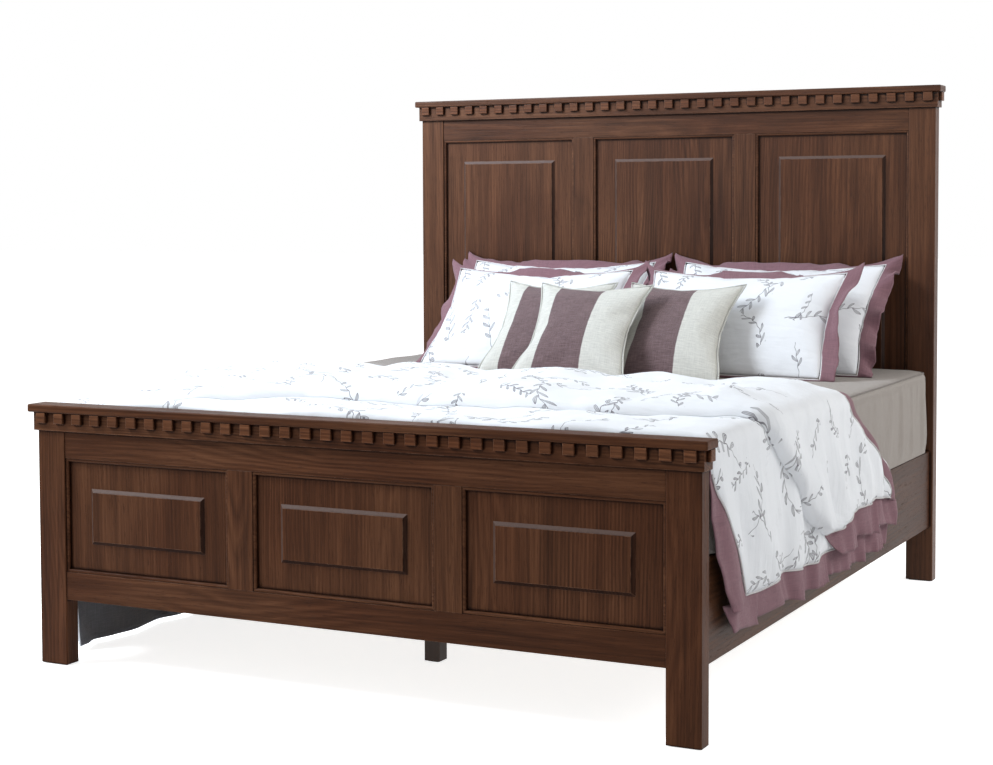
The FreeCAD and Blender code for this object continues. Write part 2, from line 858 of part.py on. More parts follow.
# ------------------------------------------------------------ writing it all
def write_board(board, front_hooks):
    """All pieces of one board.  front_hooks is +1 where the side rails meet
    the post's back face (footboard) and -1 where they meet its front."""
    face, direction = corners()[0] if front_hooks > 0 else corners()[1]
    pocket = post_pocket(face, direction)
    right_post = post(board).cut(pocket)
    write(board.name + "_post_right", right_post)
    write(board.name + "_post_left", mirrored(right_post))
    write(board.name + "_bottom_rail", rail(board, board.rail_z, board.open_bottom, True))
    write(board.name + "_top_rail", rail(board, board.open_top, board.post_height, False))
    for side, x in zip(("left", "right"), board.mullion_starts()):
        write(board.name + "_mullion_" + side, mullion(board, x))
    for side, (left, right) in zip(("left", "centre", "right"), board.openings()):
        write(board.name + "_panel_" + side, panel(board, left, right))
    write(board.name + "_panel_beads", beads(board))
    write(board.name + "_frieze", frieze(board))
    write(board.name + "_dentils", dentils(board))
    write(board.name + "_cap", cap(board))


def write_feet(boards):
    x = half_width - post_width / 2
    glides = []
    for board in boards:
        y = board.face + post_depth / 2
        glides += [glide(side * x, y, post_width, post_depth) for side in (-1, 1)]
    write("post_glides", glides)
    size = centre_leg_size
    write("centre_legs", [centre_leg(y) for y in centre_leg_places()])
    write("centre_leg_glides", [glide(0, y, size, size) for y in centre_leg_places()])


def write_hardware():
    hooks, slots = [], []
    for face, direction in corners():
        hooks.append(hook_plate(face, direction))
        slots.append(slot_plate(face, direction))
    write("rail_hook_plates", hooks + [mirrored(shape) for shape in hooks])
    write("post_slot_plates", slots + [mirrored(shape) for shape in slots])


def write_side_rails():
    rail_right, cleat_right = side_rail(), cleat()
    write("side_rail_right", rail_right)
    write("side_rail_left", mirrored(rail_right))
    write("slat_cleat_right", cleat_right)
    write("slat_cleat_left", mirrored(cleat_right))
    write("slats", [slat(y) for y in slat_centres()])


def write_beam(footboard, headboard):
    write("centre_beam", beam(footboard, headboard))
    write("beam_bracket_foot", beam_bracket(footboard, 1))
    write("beam_bracket_head", beam_bracket(headboard, -1))


def pair_centres(shift, distance):
    return [("left", shift - distance / 2), ("right", shift + distance / 2)]


def write_bedding():
    write("mattress", mattress())
    write("fitted_sheet", fitted_sheet())
    rear = sham(rear_sham_width, rear_sham_height)
    for side, x in pair_centres(rear_sham_shift, rear_sham_width + rear_sham_gap):
        placed = lean_back(rear, rear_sham_height, sham_flange_thickness,
                           rear_sham_lean, x, rear_sham_base())
        write("sham_rear_" + side, placed)
    front = sham(front_sham_width, front_sham_height)
    for side, x in pair_centres(front_sham_shift, front_sham_width + front_sham_gap):
        placed = lean_back(front, front_sham_height, sham_flange_thickness,
                           front_sham_lean, x, front_sham_base())
        write("sham_front_" + side, placed)
    cushion = throw()
    sides = pair_centres(side_throw_shift, 2 * side_throw_spread)
    places = [(name, x, side_throw_base()) for name, x in sides]
    places.append(("middle", middle_throw_shift, middle_throw_base()))
    for name, x, base in places:
        placed = lean_back(cushion, throw_size, throw_seam_thickness, throw_lean, x, base)
        write("throw_pillow_" + name, placed)
    write("duvet", duvet())


def main():
    footboard = Board("footboard", foot_face, footboard_post_height,
                      footboard_underside, footboard_bottom_rail_height)
    headboard = Board("headboard", head_face, headboard_post_height,
                      headboard_underside, headboard_bottom_rail_height)
    write_board(footboard, 1)
    write_board(headboard, -1)
    write_feet((footboard, headboard))
    write_hardware()
    write_side_rails()
    write_beam(footboard, headboard)
    write_bedding()


main()
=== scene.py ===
import math

import bmesh
import bpy
import numpy as np
from mathutils import Matrix, Vector


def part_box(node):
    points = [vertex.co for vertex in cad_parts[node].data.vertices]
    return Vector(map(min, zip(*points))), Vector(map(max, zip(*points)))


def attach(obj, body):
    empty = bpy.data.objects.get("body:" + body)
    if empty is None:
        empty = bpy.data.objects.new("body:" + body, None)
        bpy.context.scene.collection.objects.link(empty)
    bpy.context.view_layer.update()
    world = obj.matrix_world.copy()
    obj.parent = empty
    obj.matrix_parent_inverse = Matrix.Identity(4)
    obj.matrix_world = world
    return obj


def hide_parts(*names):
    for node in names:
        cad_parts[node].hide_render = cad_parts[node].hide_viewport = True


# Looks of a panelled bed with its bedding.  Metres; the footboard is at -Y.

bl_info = {
    "name": "Panel Bed",
    "version": (1, 0, 0),
    "blender": (4, 5, 0),
    "location": "View3D > Sidebar > Panel Bed",
    "description": "Dresses a panelled oak bed: wood, mattress, sheet, duvet and pillows",
    "category": "Object",
}

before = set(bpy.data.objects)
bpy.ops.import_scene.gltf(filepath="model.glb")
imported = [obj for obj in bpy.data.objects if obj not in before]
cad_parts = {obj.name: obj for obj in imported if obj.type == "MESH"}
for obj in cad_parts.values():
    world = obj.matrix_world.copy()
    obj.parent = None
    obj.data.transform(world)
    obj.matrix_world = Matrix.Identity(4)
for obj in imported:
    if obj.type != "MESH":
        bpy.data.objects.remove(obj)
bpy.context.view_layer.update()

BOARDS = ("footboard", "headboard")
THROWS = ("throw_pillow_left", "throw_pillow_right", "throw_pillow_middle")
REAR_SHAMS = ("sham_rear_left", "sham_rear_right")
FRONT_SHAMS = ("sham_front_left", "sham_front_right")


# ------------------------------------------------------------- user settings
def colour_setting(name, description, default):
    return bpy.props.FloatVectorProperty(name=name, description=description, default=default,
                                         subtype="COLOR", size=3, min=0.0, max=1.0)


def length_setting(name, description, default, **limits):
    return bpy.props.FloatProperty(name=name, description=description, default=default,
                                   subtype="DISTANCE", unit="LENGTH", **limits)


def lean_setting(name, degrees):
    return bpy.props.FloatProperty(name=name, description="Angle from upright",
                                   default=math.radians(degrees), subtype="ANGLE",
                                   unit="ROTATION")


def power_setting(name, description, default):
    return bpy.props.FloatProperty(name=name, description=description, default=default,
                                   subtype="POWER", unit="POWER", min=0.0)


class OakSettings(bpy.types.PropertyGroup):
    """Stained oak of the bed frame."""

    dark: colour_setting("Late wood", "Colour of the dark grain lines", (0.030, 0.0115, 0.0055))
    middle: colour_setting("Stain", "Main colour of the stained wood", (0.078, 0.0310, 0.0145))
    light: colour_setting("Early wood", "Colour of the light grain lines",
                          (0.150, 0.0640, 0.0310))
    ring: length_setting("Ring spacing", "Distance between two year rings", 0.0085, min=0.002)


class BeddingSettings(bpy.types.PropertyGroup):
    """Sizes and colours of sheet, duvet and pillows."""

    cotton: colour_setting("Cotton", "Ground colour of duvet and shams", (0.84, 0.86, 0.89))
    print_line: colour_setting("Sprig lines", "Colour of the printed sprigs",
                               (0.150, 0.140, 0.160))
    mauve: colour_setting("Flange", "Colour of the flanges", (0.225, 0.118, 0.140))
    beige: colour_setting("Sheet", "Colour of the fitted sheet", (0.33, 0.295, 0.268))
    plum: colour_setting("Throw band", "Colour of the middle band of the throw pillows",
                         (0.167, 0.112, 0.117))
    band_shift: length_setting("Band's shift",
                               "How far the band lies left of the pillow's middle", 0.034)
    cream: colour_setting("Throw ground", "Colour of the outer bands of the throw pillows",
                          (0.707, 0.706, 0.653))
    band: bpy.props.FloatProperty(
        name="Band share", description="Width of the middle band, as a share of the pillow",
        subtype="FACTOR", min=0.0, max=1.0, default=0.42)
    cell: length_setting("Cloth cell", "Size of the mesh cells of the duvet", 0.012, min=0.006)
    sham_flange: length_setting("Sham flange", "Width of the shams' flange", 0.045, min=0.02)
    sham_thickness: length_setting("Sham thickness", "Thickness of a sham in its middle",
                                   0.130, min=0.03)
    throw_thickness: length_setting("Throw thickness",
                                    "Thickness of a throw pillow in its middle", 0.104, min=0.03)
    rear_lean: lean_setting("Rear shams' lean", 45)
    front_lean: lean_setting("Front shams' lean", 43)
    throw_lean: lean_setting("Throw pillows' lean", 42)


class StageSettings(bpy.types.PropertyGroup):
    """Floor, light and camera."""

    key_power: power_setting("Key light", "Power of the light at the left front", 225.0)
    fill_power: power_setting("Fill light", "Power of the light at the right rear", 75.0)
    ambient: bpy.props.FloatProperty(
        name="Ambient", description="Strength of the light from all round",
        min=0.0, default=0.46)
    focal_length: bpy.props.FloatProperty(
        name="Focal length", description="Camera lens for a 36 mm wide frame, in millimetres",
        min=1.0, default=67.855)


# ------------------------------------------------------------- mesh helpers
def ripple(seed, x, y, wavelength, stretch=1.0, count=7):
    """Smooth seeded waves of about unit height over two coordinates."""
    draw = np.random.default_rng(seed)
    total = np.zeros(np.broadcast(x, y).shape)
    for _ in range(count):
        angle = draw.uniform(0, math.tau)
        length = wavelength * draw.uniform(0.7, 1.6)
        phase = draw.uniform(0, math.tau)
        run = x * math.cos(angle) + y * math.sin(angle) / stretch
        total = total + np.sin(math.tau * run / length + phase)
    return total / math.sqrt(count / 2)


def smooth(value):
    value = np.clip(value, 0.0, 1.0)
    return value * value * (3 - 2 * value)


def new_piece(name, points, faces, uv=None):
    """A mesh object from points, faces and one UV pair for each point."""
    mesh = bpy.data.meshes.new(name)
    mesh.from_pydata([tuple(p) for p in points], [], [tuple(f) for f in faces])
    if uv is not None:
        layer = mesh.uv_layers.new(name="cloth")
        corner_point = np.empty(len(mesh.loops), np.int32)
        mesh.loops.foreach_get("vertex_index", corner_point)
        layer.data.foreach_set("uv", np.asarray(uv, np.float32)[corner_point].ravel())
    mesh.validate()
    mesh.polygons.foreach_set("use_smooth", np.ones(len(mesh.polygons), bool))
    made = bpy.data.objects.new(name, mesh)
    bpy.context.scene.collection.objects.link(made)
    tidy = bmesh.new()
    tidy.from_mesh(mesh)
    bmesh.ops.recalc_face_normals(tidy, faces=tidy.faces)
    tidy.to_mesh(mesh)
    tidy.free()
    return made


def settle(piece, body, material, nodes=()):
    """Gives a finished piece its material and body, and hides the solids it replaces."""
    piece.data.materials.append(material)
    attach(piece, body)
    if nodes:
        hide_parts(*nodes)
    return piece


def grid_faces(rows, columns, start=0):
    """Quads over a grid of points, row by row."""
    index = np.arange(rows * columns).reshape(rows, columns) + start
    quads = np.stack([index[:-1, :-1], index[:-1, 1:], index[1:, 1:], index[1:, :-1]], -1)
    return quads.reshape(-1, 4).tolist()


def ring_faces(rows, columns, start=0):
    """Quads over a grid of points whose rows are closed round."""
    index = np.arange(rows * columns).reshape(rows, columns) + start
    after = np.roll(index, -1, 1)
    return np.stack([index[:-1], after[:-1], after[1:], index[1:]], -1).reshape(-1, 4).tolist()


def doubled_ring(name, outer, inner, uv, capped=False):
    """Joins two grids whose rows are closed round into one closed cloth.  A
    capped one is closed over at its last row."""
    rows, columns = outer.shape[:2]
    count = rows * columns
    faces = ring_faces(rows, columns)
    faces += [face[::-1] for face in ring_faces(rows, columns, count)]
    first = np.arange(columns)
    last = first + count - columns
    after = np.roll(first, -1)
    faces += np.stack([after, first, first + count, after + count], -1).tolist()
    if capped:
        faces += [last.tolist(), (last + count)[::-1].tolist()]
    else:
        after = np.roll(last, -1)
        faces += np.stack([last, after, after + count, last + count], -1).tolist()
    points = np.concatenate([outer.reshape(-1, 3), inner.reshape(-1, 3)])
    return new_piece(name, points, faces, np.concatenate([uv.reshape(-1, 2)] * 2))


def closed_sheet(name, outer, inner, uv):
    """Joins an outer and an inner grid of points into one closed cloth."""
    rows, columns = outer.shape[:2]
    count = rows * columns
    points = np.concatenate([outer.reshape(-1, 3), inner.reshape(-1, 3)])
    faces = grid_faces(rows, columns)
    faces += [face[::-1] for face in grid_faces(rows, columns, count)]
    index = np.arange(count).reshape(rows, columns)
    rim = np.concatenate([index[0, :-1], index[:-1, -1], index[-1, :0:-1], index[:0:-1, 0]])
    for a, b in zip(rim, np.roll(rim, -1)):
        faces.append((a, b, b + count, a + count))
    coordinates = np.concatenate([uv.reshape(-1, 2), uv.reshape(-1, 2)])
    return new_piece(name, points, faces, coordinates)


def tube(name, path, radius, closed=False, sides=6):
    """A thin piping along a row of points."""
    path = np.asarray(path, float)
    ahead = np.roll(path, -1, 0) - np.roll(path, 1, 0)
    if not closed:
        ahead[0] = path[1] - path[0]
        ahead[-1] = path[-1] - path[-2]
    ahead /= np.linalg.norm(ahead, axis=1)[:, None] + 1e-12
    up = np.tile(np.array([0.13, 0.21, 0.97]), (len(path), 1))
    side = np.cross(ahead, up)
    side /= np.linalg.norm(side, axis=1)[:, None] + 1e-12
    up = np.cross(side, ahead)
    points, coordinates = [], []
    travel = np.concatenate([[0], np.cumsum(np.linalg.norm(np.diff(path, axis=0), axis=1))])
    for k in range(sides):
        angle = math.tau * k / sides
        points.append(path + radius * (math.cos(angle) * side + math.sin(angle) * up))
        coordinates.append(np.stack([travel, np.full(len(path), angle * radius)], -1))
    points = np.stack(points, 1)
    coordinates = np.stack(coordinates, 1)
    faces = ring_faces(len(path), sides)
    first = np.arange(sides)
    last = first + (len(path) - 1) * sides
    if closed:
        faces += np.stack([last, np.roll(last, -1), np.roll(first, -1), first], -1).tolist()
    else:
        faces += [first.tolist(), last.tolist()]
    return new_piece(name, points.reshape(-1, 3), faces, coordinates.reshape(-1, 2))


# --------------------------------------------------------- material helpers
class Value:
    """A node's output that can be reckoned with."""

    def __init__(self, finish, socket):
        self.finish = finish
        self.socket = socket

    def __add__(self, other):
        return self.finish.math("ADD", self, other)

    def __sub__(self, other):
        return self.finish.math("SUBTRACT", self, other)

    def __mul__(self, other):
        return self.finish.math("MULTIPLY", self, other)

    def __truediv__(self, other):
        return self.finish.math("DIVIDE", self, other)

    def __abs__(self):
        return self.finish.math("ABSOLUTE", self)


class Finish:
    """A material built from nodes."""

    def __init__(self, name):
        self.material = bpy.data.materials.new(name)
        self.material.use_nodes = True
        self.tree = self.material.node_tree
        self.shader = self.tree.nodes["Principled BSDF"]

    def add(self, kind, **settings):
        node = self.tree.nodes.new("ShaderNode" + kind)
        for key, value in settings.items():
            setattr(node, key, value)
        return node

    def feed(self, socket, source):
        source = getattr(source, "socket", source)
        if hasattr(source, "is_output"):
            self.tree.links.new(source, socket)
        else:
            socket.default_value = source

    def feed_all(self, node, sources):
        for socket, source in zip(node.inputs, sources):
            self.feed(socket, source)

    def math(self, operation, *values, clamp=False):
        node = self.add("Math", operation=operation, use_clamp=clamp)
        self.feed_all(node, values)
        return Value(self, node.outputs[0])

    def mix(self, factor, first, second, blend="MIX"):
        node = self.add("Mix", data_type="RGBA", blend_type=blend)
        for index, value in ((0, factor), (6, first), (7, second)):
            if isinstance(value, tuple) and len(value) == 3:
                value = (*value, 1.0)
            self.feed(node.inputs[index], value)
        return node.outputs[2]

    def tint(self, colour, by):
        return self.mix(1.0, colour, by, "MULTIPLY")

    def vector_math(self, operation, *values):
        node = self.add("VectorMath", operation=operation)
        self.feed_all(node, values)
        return node.outputs[0]

    def split(self, vector):
        """The three parts of a vector."""
        node = self.add("SeparateXYZ")
        self.feed(node.inputs[0], vector)
        return [Value(self, output) for output in node.outputs]

    def join(self, *parts):
        """A vector from its parts."""
        node = self.add("CombineXYZ")
        self.feed_all(node, parts)
        return node.outputs[0]

    def place(self, vector, scale=(1, 1, 1), rotation=(0, 0, 0), shift=(0, 0, 0)):
        node = self.add("Mapping")
        self.feed(node.inputs["Vector"], vector)
        node.inputs["Scale"].default_value = scale
        node.inputs["Rotation"].default_value = rotation
        node.inputs["Location"].default_value = shift
        return node.outputs[0]

    def texture(self, kind, vector, inputs, output=0, **settings):
        node = self.add("Tex" + kind, **settings)
        self.feed(node.inputs["Vector"], vector)
        for name, value in inputs.items():
            node.inputs[name].default_value = value
        return Value(self, node.outputs[output])

    def noise(self, vector, scale, detail=3.0, roughness=0.5, distortion=0.0):
        return self.texture("Noise", vector, {"Scale": scale, "Detail": detail,
                                              "Roughness": roughness, "Distortion": distortion})

    def ramp(self, factor, *stops):
        node = self.add("ValToRGB")
        band = node.color_ramp
        while len(band.elements) < len(stops):
            band.elements.new(0.5)
        for element, (place, colour) in zip(band.elements, stops):
            element.position = place
            element.color = (*colour, 1.0)
        self.feed(node.inputs[0], factor)
        return Value(self, node.outputs[0])

    def step(self, value, low, high):
        """0 below low, 1 above high and smooth between."""
        node = self.add("MapRange", interpolation_type="SMOOTHSTEP")
        self.feed(node.inputs["Value"], value)
        node.inputs["From Min"].default_value = low
        node.inputs["From Max"].default_value = high
        return Value(self, node.outputs[0])

    def bump(self, *layers):
        """Bumps on each other: (height, distance in metres)."""
        normal = None
        for height, distance in layers:
            node = self.add("Bump")
            node.inputs["Strength"].default_value = 1.0
            node.inputs["Distance"].default_value = distance
            self.feed(node.inputs["Height"], height)
            if normal is not None:
                self.feed(node.inputs["Normal"], normal)
            normal = node.outputs[0]
        self.feed(self.shader.inputs["Normal"], normal)

    def set(self, **values):
        for name, value in values.items():
            self.feed(self.shader.inputs[name.replace("_", " ")], value)

    def coordinates(self, kind="Object"):
        return self.add("TexCoord").outputs[kind]

    def weave(self, vector, pitch):
        """Height of a plain weave, threads in both directions."""
        x, y, _ = self.split(vector)
        turns = math.tau / pitch
        return self.math("SINE", x * turns) * self.math("SINE", y * turns)


# ------------------------------------------------------------ wood and metal
def oak(name, grain, heart, seed, settings, tone=1.0):
    """Stained oak with its grain along one axis: year rings round a heart line, streaks, pores,
    painted shade in the recesses from ambient occlusion, and light edges that are partly wear and
    partly a painted highlight."""
    finish = Finish(name)
    place = finish.coordinates()
    axis = "XYZ".index(grain)
    draw = np.random.default_rng(seed)
    offset = [-value for value in heart]
    offset[axis] = float(draw.uniform(0, 5))
    tilt = [0.0, 0.0, 0.0]
    for other in (1, 2):
        tilt[(axis + other) % 3] = float(draw.uniform(-0.02, 0.02))
    turned = finish.place(finish.place(place, shift=offset), rotation=tilt)

    def fibres(share, *kind):
        """Noise drawn out along the grain."""
        squeeze = [1.0, 1.0, 1.0]
        squeeze[axis] = share
        return finish.noise(finish.place(turned, scale=squeeze), *kind)

    sway = fibres(0.22, 4.2, 3.0, 0.45) * 0.085 + fibres(0.16, 17.0, 2.0, 0.5) * 0.010 - 0.047
    spread = finish.join(*(0.0 if index == axis else sway for index in range(3)))
    rings = finish.texture("Wave", finish.vector_math("ADD", turned, spread),
                           {"Scale": math.tau / (20 * settings.ring)}, "Fac",
                           wave_type="RINGS", rings_direction=grain, wave_profile="SAW")
    ring = finish.ramp(rings, (0.0, (0.10,) * 3), (0.24, (0.42,) * 3),
                       (0.62, (0.86,) * 3), (1.0, (0.22,) * 3))
    streaks = fibres(0.022, 170.0, 4.0, 0.62)
    broad = fibres(0.05, 24.0, 3.0, 0.5)
    pores = finish.step(fibres(0.06, 480.0, 2.0, 0.5), 0.60, 0.69)
    strength = finish.step(fibres(0.4, 5.0, 2.0), 0.36, 0.66) * 0.22 + 0.04
    value = (ring - 0.5) * strength + (streaks - 0.5) * 0.62 + (broad - 0.5) * 0.55 + 0.5
    dark = tuple(settings.dark)
    colour = finish.ramp(value, (0.24, dark), (0.50, tuple(settings.middle)),
                         (0.78, tuple(settings.light)))
    blotch = finish.step(fibres(0.5, 3.4, 2.0, 0.5), 0.36, 0.70)
    colour = finish.mix(blotch, colour, finish.tint(colour, (0.74, 0.66, 0.62)))
    colour = finish.tint(finish.mix(pores * 0.5, colour, dark), (tone, tone, tone))
    # painted shade and painted highlight on the sloping rims of the raised fields
    if "_panel_" in name and grain == "Z":
        colour = rim_painted_shade_and_highlight(finish, colour)
    # painted shade: the colour darkens where ambient occlusion is low, in the recesses and at the
    # joints
    recess = finish.add("AmbientOcclusion", samples=8)
    recess.inputs["Distance"].default_value = 0.011
    shade = finish.step(recess.outputs["AO"], 0.66, 0.90)
    colour = finish.mix(shade, finish.tint(colour, (0.20, 0.16, 0.16)), colour)
    bevel = finish.add("Bevel", samples=6)
    bevel.inputs["Radius"].default_value = 0.0022
    facing = finish.add("VectorMath", operation="DOT_PRODUCT")
    finish.feed_all(facing, (bevel.outputs[0], finish.add("NewGeometry").outputs["Normal"]))
    edge = finish.step(facing.outputs["Value"], 0.995, 0.90)
    rub = finish.step(finish.noise(place, 34.0, 3.0, 0.6), 0.38, 0.62)
    # light edges: worn in places, and also a painted highlight along the edges, kept out of the
    # painted shade
    colour = finish.mix(edge * rub * shade * 0.75, colour, (0.24, 0.130, 0.082))
    finish.set(Base_Color=colour, Roughness=pores * 0.15 + (streaks * 0.18 + 0.31),
               Specular_IOR_Level=0.30, IOR=1.36 if "headboard" in name else 1.18)
    bump = finish.add("Bump")
    bump.inputs["Distance"].default_value = 0.0006
    finish.feed(bump.inputs["Height"], pores * -0.5 + streaks)
    finish.feed(bump.inputs["Normal"], bevel.outputs[0])
    finish.set(Normal=bump.outputs[0])
    return finish.material


def rim_painted_shade_and_highlight(finish, colour):
    """Painted shade on the sloping rim of a raised field: dark in general, with a painted highlight
    where the slope faces up or to the left, towards the lamps."""
    x, y, z = finish.split(finish.add("NewGeometry").outputs["True Normal"])
    # the rim is painted dark as shade, and lighter as a painted highlight where it faces up or left
    slope = finish.step(abs(y), 0.96, 0.90)
    dark = finish.tint(colour, (0.34, 0.30, 0.30))
    lit = finish.math("MAXIMUM", finish.step(z, 0.30, 0.50), finish.step(x, -0.30, -0.50) * 0.45)
    return finish.mix(slope, colour, finish.mix(lit, dark, (0.115, 0.076, 0.064)))


def pine(name, grain, tint_factor=(1.0, 1.0, 1.0)):
    """Planed softwood of the parts that carry the mattress, with its colour multiplied by a tint
    where one is given."""
    finish = Finish(name)
    squeeze = [1.0, 1.0, 1.0]
    squeeze["XYZ".index(grain)] = 0.05
    place = finish.place(finish.coordinates(), scale=squeeze)
    rings = finish.texture("Wave", place, {"Scale": 46.0, "Distortion": 2.2, "Detail Scale": 2.0},
                           "Fac", wave_type="RINGS", rings_direction=grain)
    streaks = finish.noise(place, 160.0, 3.0, 0.6)
    colour = finish.ramp(rings * 0.55 + streaks * 0.5, (0.2, (0.42, 0.26, 0.13)),
                         (0.5, (0.62, 0.44, 0.25)), (0.85, (0.72, 0.56, 0.36)))
    knot = finish.step(finish.texture("Voronoi", place, {"Scale": 7.0}, "Distance"), 0.10, 0.04)
    colour = finish.tint(finish.mix(knot, colour, (0.20, 0.10, 0.05)), tint_factor)
    finish.set(Base_Color=colour, Roughness=streaks * 0.2 + 0.5)
    finish.bump((streaks, 0.0006))
    return finish.material


def zinc_steel():
    """Zinc plate with its faint spangle and dull scratches."""
    finish = Finish("zinc_plate")
    place = finish.coordinates()
    spangle = finish.texture("Voronoi", place, {"Scale": 210.0}, "Color")
    scratch = finish.noise(finish.place(place, scale=(1, 0.06, 1)), 900.0, 2.0)
    tone = spangle * 0.10 + scratch * 0.16
    colour = finish.ramp(tone, (0.0, (0.44, 0.45, 0.47)), (0.3, (0.66, 0.66, 0.65)))
    finish.set(Base_Color=colour, Metallic=1.0, Roughness=tone * 0.8 + 0.28)
    finish.bump((scratch, 0.0002))
    return finish.material


def glide_plastic():
    """Moulded plastic with a fine texture."""
    finish = Finish("glide_plastic")
    place = finish.coordinates()
    dust = finish.noise(place, 60.0, 3.0)
    colour = finish.ramp(dust, (0.35, (0.030, 0.028, 0.026)), (0.75, (0.062, 0.057, 0.052)))
    finish.set(Base_Color=colour, Roughness=dust * 0.25 + 0.42)
    finish.bump((finish.noise(place, 1400.0, 2.0), 0.0003))
    return finish.material


# ------------------------------------------------------------ cloth finishes
def sprig_lines(finish, place, size, length, pitch, turn, shift, seed):
    """Strength of thin leafy sprigs, one in most cells of a brick grid and
    each turned its own way: a bent stem with slim pointed leaves."""
    x, y, _ = finish.split(finish.place(place, rotation=(0, 0, turn), shift=shift))
    row_at = y / size
    row = finish.math("FLOOR", row_at)
    column_at = x / size + finish.math("MODULO", abs(row), 2.0) * 0.5
    column = finish.math("FLOOR", column_at)

    def dice(*values):
        return finish.split(finish.texture("WhiteNoise", finish.join(*values), {}, "Color",
                                           noise_dimensions="3D"))

    chance = dice(column, row, seed)
    spin = finish.add("VectorRotate", rotation_type="Z_AXIS")
    local = finish.join((column_at - column - 0.5) * size, (row_at - row - 0.5) * size)
    finish.feed(spin.inputs["Vector"], local)
    finish.feed(spin.inputs["Angle"], chance[0] * math.tau)
    x, y, _ = finish.split(spin.outputs[0])
    bend = y * y * (chance[1] * 14.0 - 7.0)
    x = x - bend - finish.math("SINE", y * (math.tau / pitch)) * 0.0016
    side = finish.math("SIGN", x)
    x = abs(x)
    within = finish.step(abs(y), length / 2, length / 2 - 0.002)
    stem = finish.step(x, 0.0013, 0.0005) * within
    at = (side * (pitch * 0.22) + y) / pitch
    leaf_number = finish.math("FLOOR", at)
    rise = (at - leaf_number) * pitch
    # in one node each: the dice fall otherwise at the least rounding
    luck = dice(finish.math("MULTIPLY_ADD", leaf_number, 0.37, column),
                finish.math("MULTIPLY_ADD", side, 0.21, row), seed + 1.0)
    slope = math.radians(38)
    run = x * math.sin(slope) + rise * math.cos(slope)
    off = x * math.cos(slope) - rise * math.sin(slope)
    part = run / ((luck[0] * 0.45 + 0.75) * pitch)
    on_leaf = finish.step(part, 1.0, 0.96) * finish.step(part, 0.03, 0.08)
    shape = finish.math("SINE", finish.math("MINIMUM", part, 1.0) * math.pi)
    gap = abs(off) - shape * (pitch * 0.125)
    rim = finish.step(abs(gap), 0.0010, 0.0004)
    inside = finish.step(gap, 0.0003, -0.0003)
    vein = finish.step(abs(off), 0.0008, 0.0003) * inside
    leaf = finish.math("MAXIMUM", rim, finish.math("MAXIMUM", inside * 0.42, vein))
    leaf = leaf * on_leaf * within * finish.step(luck[1], 0.30, 0.31)
    return finish.math("MAXIMUM", stem, leaf) * finish.step(chance[2], 0.16, 0.17)


def printed_cotton(name, settings):
    """White cotton sateen with thin grey sprigs in two sizes."""
    finish = Finish(name)
    place = finish.coordinates("UV")
    sway = finish.noise(place, 5.0, 2.0)
    drawn = finish.vector_math("ADD", place, finish.join(sway * 0.05, sway * -0.04))
    large = sprig_lines(finish, drawn, 0.205, 0.185, 0.034, 0.35, (0.013, 0.031, 0), 3.0)
    small = sprig_lines(finish, drawn, 0.160, 0.120, 0.025, -0.52, (0.087, 0.059, 0), 8.0)
    ink = finish.noise(place, 30.0, 2.0) + 0.40
    mask = finish.math("MULTIPLY", finish.math("MAXIMUM", large, small), ink, clamp=True)
    tone = finish.noise(place, 5.0, 3.0)
    ground = finish.mix(tone * 0.10, tuple(settings.cotton), (0.74, 0.77, 0.82))
    colour = finish.mix(mask, ground, tuple(settings.print_line))
    finish.set(Base_Color=colour, Roughness=0.82, Specular_IOR_Level=0.2,
               Sheen_Weight=0.08, Sheen_Roughness=0.5)
    crumple = finish.noise(place, 17.0, 4.0, 0.5, 0.3)
    drawn_out = finish.noise(finish.place(place, scale=(0.16, 1, 1)), 21.0, 3.0, 0.55)
    weave = finish.weave(place, 0.0011)
    finish.bump((drawn_out, 0.0075), (crumple, 0.0036), (weave, 0.00012))
    return finish.material


def plain_cotton(name, colour, crease=0.002, slub=0.25, pitch=0.0013):
    """Dyed cotton: weave, faint slubs and soft creases."""
    finish = Finish(name)
    place = finish.coordinates("UV")
    threads = finish.noise(finish.place(place, scale=(1, 0.05, 1)), 420.0, 3.0, 0.6)
    cross = finish.noise(finish.place(place, scale=(0.05, 1, 1)), 380.0, 3.0, 0.6)
    mixed = (threads + cross) * 0.5
    fade = finish.noise(place, 6.0, 3.0)
    darker = tuple(c * (1 - slub) for c in colour)
    lighter = tuple(min(1.0, c * (1 + slub)) for c in colour)
    tone = finish.ramp(mixed, (0.34, darker), (0.66, lighter))
    tone = finish.mix(fade * 0.25, tone, tuple(c * 0.85 for c in colour))
    finish.set(Base_Color=tone, Roughness=0.86, Specular_IOR_Level=0.25,
               Sheen_Weight=0.15, Sheen_Roughness=0.45)
    crumple = finish.noise(place, 30.0, 4.0, 0.55, 0.3)
    finish.bump((crumple, crease), (finish.weave(place, pitch), 0.00015))
    return finish.material


